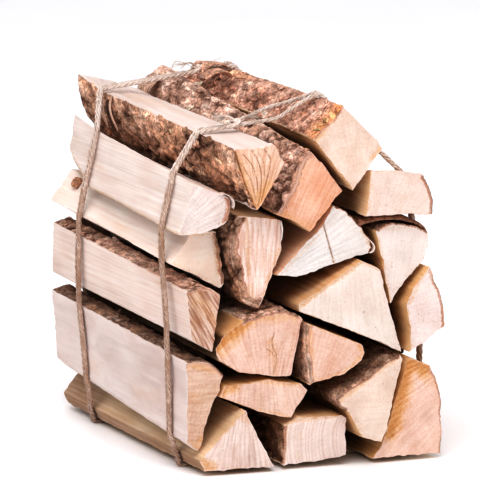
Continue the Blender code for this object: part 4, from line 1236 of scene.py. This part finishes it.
def build_band(name, settings, material):
    """Two turns of three plies: three helices round the band's path, each a tube that swells and thins."""
    centres, facing, run = band_path(name, CELL_TWINE * settings.coarseness)
    up, across = along_path(centres, facing)
    rng = np.random.default_rng(7 + len(name))
    on_run = np.stack([run, 0 * run, 0 * run], axis=-1)
    stray = 0.35 * np.stack([waves(on_run, (22, 1, 1), 60 + n) for n in (0, 1)], axis=-1)
    centres = centres + up * np.abs(stray[:, :1]) + across * stray[:, 1:]
    parts, along, turn = [], [], []
    rows = len(run)
    for ply in range(PLIES):
        angle = 2 * np.pi * (run / PLY_PITCH + ply / PLIES)
        spin_up = np.cos(angle)[:, None] * up + np.sin(angle)[:, None] * across
        spin_across = np.cross(spin_up, np.cross(across, up))
        radius = PLY_RADIUS * (1 + 0.22 * waves(on_run, (11, 1, 1), ply + rng.integers(90)))
        radius[[0, -1]] *= TIP
        grid = tube_points(centres + spin_up * PLY_OFFSET, spin_up, spin_across, radius[:, None], PLY_RING)
        parts.append((grid, tube_quads(rows, PLY_RING)))
        along.append(np.repeat(run, PLY_RING))
        turn.append(np.tile(np.arange(PLY_RING) / PLY_RING * 6.0 + ply * 9, rows))
    extras = knot_parts(name, centres, rng)
    for size, line in WHISKERS[name]:
        thinning = np.linspace(size, 0.3 * size, WHISKER_ROWS)
        extras.append(cord(smooth_path(line, WHISKER_ROWS), (0, 0.3, 1), thinning, 6))
    fuzz = int(HAIRS * settings.fuzz)
    if fuzz:
        for count, length, loose in zip((fuzz, fuzz // LONG_HAIRS_SHARE), HAIR_LENGTHS, HAIR_LIFTS):
            extras.append(hairs(centres, facing, run, count, rng, length, loose))
    for grid, _ in extras:
        flat = grid.reshape(-1, 3)
        along.append(flat @ (1.0, 0.7, 0.9))
        turn.append(rng.uniform(0, 9) + np.arange(len(flat)) % 8 * 0.75)
    points, quads = joined([*parts, *extras])
    points[:, 2] = np.maximum(points[:, 2], 0.02)
    obj = add_mesh(name.replace("twine_", "jute_"), points, quads)
    set_number(obj.data, "along", np.concatenate(along))
    set_number(obj.data, "turn", np.concatenate(turn))
    # Height over the floor, which the material turns into painted light on top and painted shade lower down.
    set_number(obj.data, "height", points[:, 2])
    obj.data.materials.append(material)
    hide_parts(name)
    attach(obj, "root")


# Stage

CAMERA_EYE = (-2.0508, -5.3288, 1.1189)   # metres, in the frame
CAMERA_AZIMUTH, CAMERA_DROP = 21.0, 9.6   # degrees, to the right of +Y and down
CAMERA_LENS = 562.5                       # mm, on a 36 mm sensor
KEY_PLACE, KEY_SIZE = (-0.9, -1.6, 2.6), 2.0   # metres, of the soft light
KEY_AIM = (0, 0, 0.14)                    # the middle of the bundle
FLOOR_REACH, FLOOR_CELLS = 4000, 8        # mm from the middle, and cells across
FLOOR_SINK = 0.05                         # mm under the bundle
FOOTPRINT = (9.2, 6.1, 0)                 # brings the bundle's edge on the floor to about 1 from its middle; the floor's glow fades out inside it, a painted shadow
SKY_SEEN = 1.3                            # strength of the sky behind the bundle


def add_camera():
    """The camera of the photograph: far off to the left and a little above, with a long lens."""
    camera = bpy.data.objects.new("camera", bpy.data.cameras.new("camera"))
    camera.data.lens = CAMERA_LENS
    camera.data.sensor_width = 36
    camera.data.clip_end = 50
    camera.location = CAMERA_EYE
    side, drop = np.radians([CAMERA_AZIMUTH, CAMERA_DROP])
    looking = Vector((np.sin(side) * np.cos(drop), np.cos(side) * np.cos(drop), -np.sin(drop)))
    camera.rotation_euler = looking.to_track_quat("-Z", "Y").to_euler()
    bpy.context.scene.collection.objects.link(camera)
    bpy.context.scene.camera = camera


def add_key_light(power):
    """A square soft light above and to the left, aimed at the middle of the bundle."""
    light = bpy.data.objects.new("key", bpy.data.lights.new("key", "AREA"))
    light.data.size = KEY_SIZE
    light.data.energy = power
    light.location = KEY_PLACE
    light.rotation_euler = (Vector(KEY_AIM) - Vector(KEY_PLACE)).to_track_quat("-Z", "Y").to_euler()
    bpy.context.scene.collection.objects.link(light)


def add_floor(settings):
    """A wide pale floor: a grid over X and Y at the height that the bundle stands on, its glow faded out under
    and round the bundle as painted shadow.
    """
    line = np.linspace(-FLOOR_REACH, FLOOR_REACH, FLOOR_CELLS + 1)
    x, y = np.meshgrid(line, line, indexing="ij")
    points = np.stack([x, y, np.full_like(x, -FLOOR_SINK)], axis=-1)
    row, column = np.meshgrid(np.arange(FLOOR_CELLS), np.arange(FLOOR_CELLS), indexing="ij")
    here = (row * (FLOOR_CELLS + 1) + column).ravel()
    beyond = here + FLOOR_CELLS + 1
    floor = add_mesh("floor", points.reshape(-1, 3), np.stack([here, beyond, beyond + 1, here + 1], axis=-1))
    made, tree, shader, place = new_material("floor", 0.9)
    faint = spread(tree, speckle(tree, place, 3.0), 0.3, 0.7, 0.97, 1.0)
    tone = tinted(tree, (0.95, 0.945, 0.965), grey(tree, faint))
    tree.links.new(tone, shader.inputs["Base Color"])
    # Painted shadow: the glow is 0 under the bundle and full a little beyond its edge.
    placed = add(tree, "Mapping", {"Vector": place, "Scale": FOOTPRINT}).outputs[0]
    away = add(tree, "VectorMath", {0: placed}, operation="LENGTH").outputs["Value"]
    tree.links.new(spread(tree, away, 1.02, 1.3, 0, settings.floor_glow), shader.inputs["Emission Strength"])
    shader.inputs["Emission Color"].default_value = (0.98, 0.98, 1, 1)
    floor.data.materials.append(made)


def add_world(settings):
    """A white sky: full white behind the bundle, and softer where it lights it."""
    world = bpy.data.worlds.new("sky")
    world.use_nodes = True
    tree = world.node_tree
    sky = tree.nodes["Background"]
    sky.inputs["Color"].default_value = (1, 1, 1, 1)
    seen = add(tree, "LightPath").outputs["Is Camera Ray"]
    tree.links.new(spread(tree, seen, 0, 1, settings.sky_light, SKY_SEEN), sky.inputs["Strength"])
    bpy.context.scene.world = world


# Add-on

def colour_setting(name, description, screen):
    """A colour among the settings, given as a screen colour."""
    return bpy.props.FloatVectorProperty(
        name=name, description=description, subtype="COLOR", size=3, min=0, max=1,
        default=tuple(float(v) for v in surface(screen)))


def share_setting(name, description):
    """A share among the settings, 1 for the object as it is."""
    return bpy.props.FloatProperty(
        name=name, description=description, default=1.0, min=0, max=2, subtype="FACTOR")


class FirewoodSettings(bpy.types.PropertyGroup):
    """Sizes and colours of the bundle's surfaces and its stage."""
    coarseness: bpy.props.FloatProperty(
        name="Coarseness", description="How many times wider the grid cells are than the finest",
        default=1.0, min=1, max=6)
    bark_relief: share_setting(
        "Bark relief", "Depth of the bark's lumps and fissures, as a share of the real one")
    split_relief: share_setting(
        "Split relief", "Depth of the split wood's fibres, as a share of the real one")
    flakes: share_setting("Flakes", "How many flakes lift off the bark, as a share of the real number")
    fuzz: share_setting("Fuzz", "How many fibres stray from the twine, as a share of the real number")
    sharp_angle: bpy.props.FloatProperty(
        name="Sharp angle", description="Edges that turn more than this many degrees are shaded sharp",
        default=55.0, min=10, max=180)
    twine_light: colour_setting("Pale fibres", "Colour of the palest jute fibres", (255, 238, 228))
    twine_dark: colour_setting("Dark fibres", "Colour of the darkest jute fibres", (160, 110, 80))
    sky_light: bpy.props.FloatProperty(
        name="Sky light", description="Strength of the light from all round", default=0.80, min=0, max=4)
    key_light: bpy.props.FloatProperty(
        name="Key light", description="Power of the soft light above and to the left",
        default=60.0, min=0, max=400, unit="POWER")
    floor_glow: bpy.props.FloatProperty(
        name="Floor glow", description="How much the floor adds to the light it sends back",
        default=0.14, min=0, max=2)


def shared(name, make):
    """The material of this name, made when it is first needed."""
    return bpy.data.materials.get(name) or make()


class LogGroup:
    """Shared by the operators that build logs: each names its logs, and execute builds them."""
    bl_options = {"REGISTER", "UNDO"}
    logs = ()

    def execute(self, context):
        materials = [shared("birch_side", side_material), shared("birch_end", end_material)]
        for name in self.logs:
            build_log(name, context.scene.firewood, materials)
        return {"FINISHED"}


class FIREWOOD_OT_top_logs(LogGroup, bpy.types.Operator):
    """Build the three logs on top, with their thick bark"""
    bl_idname = "firewood.top_logs"
    bl_label = "Top logs"
    logs = ("log_top_left", "log_top_middle", "log_top_right")


class FIREWOOD_OT_left_logs(LogGroup, bpy.types.Operator):
    """Build the logs down the left side"""
    bl_idname = "firewood.left_logs"
    bl_label = "Left logs"
    logs = ("log_left_upper", "log_left_wedge", "log_left_middle", "log_left_lower")


class FIREWOOD_OT_centre_logs(LogGroup, bpy.types.Operator):
    """Build the logs in the middle of the stack"""
    bl_idname = "firewood.centre_logs"
    bl_label = "Centre logs"
    logs = ("log_upright_wedge", "log_fan_wedge", "log_centre_large", "log_centre_left", "log_centre_right",
            "log_lower_slab")


class FIREWOOD_OT_right_logs(LogGroup, bpy.types.Operator):
    """Build the logs down the right side"""
    bl_idname = "firewood.right_logs"
    bl_label = "Right logs"
    logs = ("log_right_shoulder", "log_right_upper", "log_right_middle", "log_right_lower")


class FIREWOOD_OT_base_logs(LogGroup, bpy.types.Operator):
    """Build the three logs at the bottom"""
    bl_idname = "firewood.base_logs"
    bl_label = "Base logs"
    logs = ("log_base_left", "log_base_middle", "log_base_right")


class FIREWOOD_OT_peels(bpy.types.Operator):
    """Build the strips of bark and the slivers that stand off the logs, and the dark sheets of painted shade
    in the gaps
    """
    bl_idname = "firewood.peels"
    bl_label = "Loose strips"
    bl_options = {"REGISTER", "UNDO"}

    def execute(self, context):
        build_peels(shared("birch_side", side_material), context.scene.firewood)
        return {"FINISHED"}


class FIREWOOD_OT_twine(bpy.types.Operator):
    """Build the two bands of twine, twice round each"""
    bl_idname = "firewood.twine"
    bl_label = "Twine"
    bl_options = {"REGISTER", "UNDO"}

    def execute(self, context):
        settings = context.scene.firewood
        material = twine_material("jute", settings)
        for name in BANDS:
            build_band(name, settings, material)
        return {"FINISHED"}


class FIREWOOD_OT_stage(bpy.types.Operator):
    """Build the floor, the sky, the lights and the camera"""
    bl_idname = "firewood.stage"
    bl_label = "Stage"
    bl_options = {"REGISTER", "UNDO"}

    def execute(self, context):
        settings = context.scene.firewood
        add_floor(settings)
        add_world(settings)
        add_key_light(settings.key_light)
        add_camera()
        view = context.scene.view_settings
        view.view_transform = "Standard"
        view.look = "None"
        view.gamma = VIEW_GAMMA
        return {"FINISHED"}


class FIREWOOD_PT_panel(bpy.types.Panel):
    """The bundle's operators and settings in the 3D view's sidebar"""
    bl_idname = "FIREWOOD_PT_panel"
    bl_label = "Firewood bundle"
    bl_space_type = "VIEW_3D"
    bl_region_type = "UI"
    bl_category = "Firewood"

    def draw(self, context):
        for operator in OPERATORS:
            self.layout.operator(operator.bl_idname)
        for name in FirewoodSettings.__annotations__:
            self.layout.prop(context.scene.firewood, name)


OPERATORS = (
    FIREWOOD_OT_stage,
    FIREWOOD_OT_top_logs,
    FIREWOOD_OT_left_logs,
    FIREWOOD_OT_centre_logs,
    FIREWOOD_OT_right_logs,
    FIREWOOD_OT_base_logs,
    FIREWOOD_OT_peels,
    FIREWOOD_OT_twine,
)
CLASSES = (FirewoodSettings, *OPERATORS, FIREWOOD_PT_panel)


def register():
    """Adds the classes and the scene's settings to Blender."""
    for cls in CLASSES:
        bpy.utils.register_class(cls)
    bpy.types.Scene.firewood = bpy.props.PointerProperty(type=FirewoodSettings)


def unregister():
    """Takes them out again."""
    del bpy.types.Scene.firewood
    for cls in reversed(CLASSES):
        bpy.utils.unregister_class(cls)


def main():
    """Registers the add-on, and builds every piece and the stage."""
    register()
    for operator in OPERATORS:
        group, name = operator.bl_idname.split(".")
        getattr(getattr(bpy.ops, group), name)()


if __name__ == "__main__":
    main()
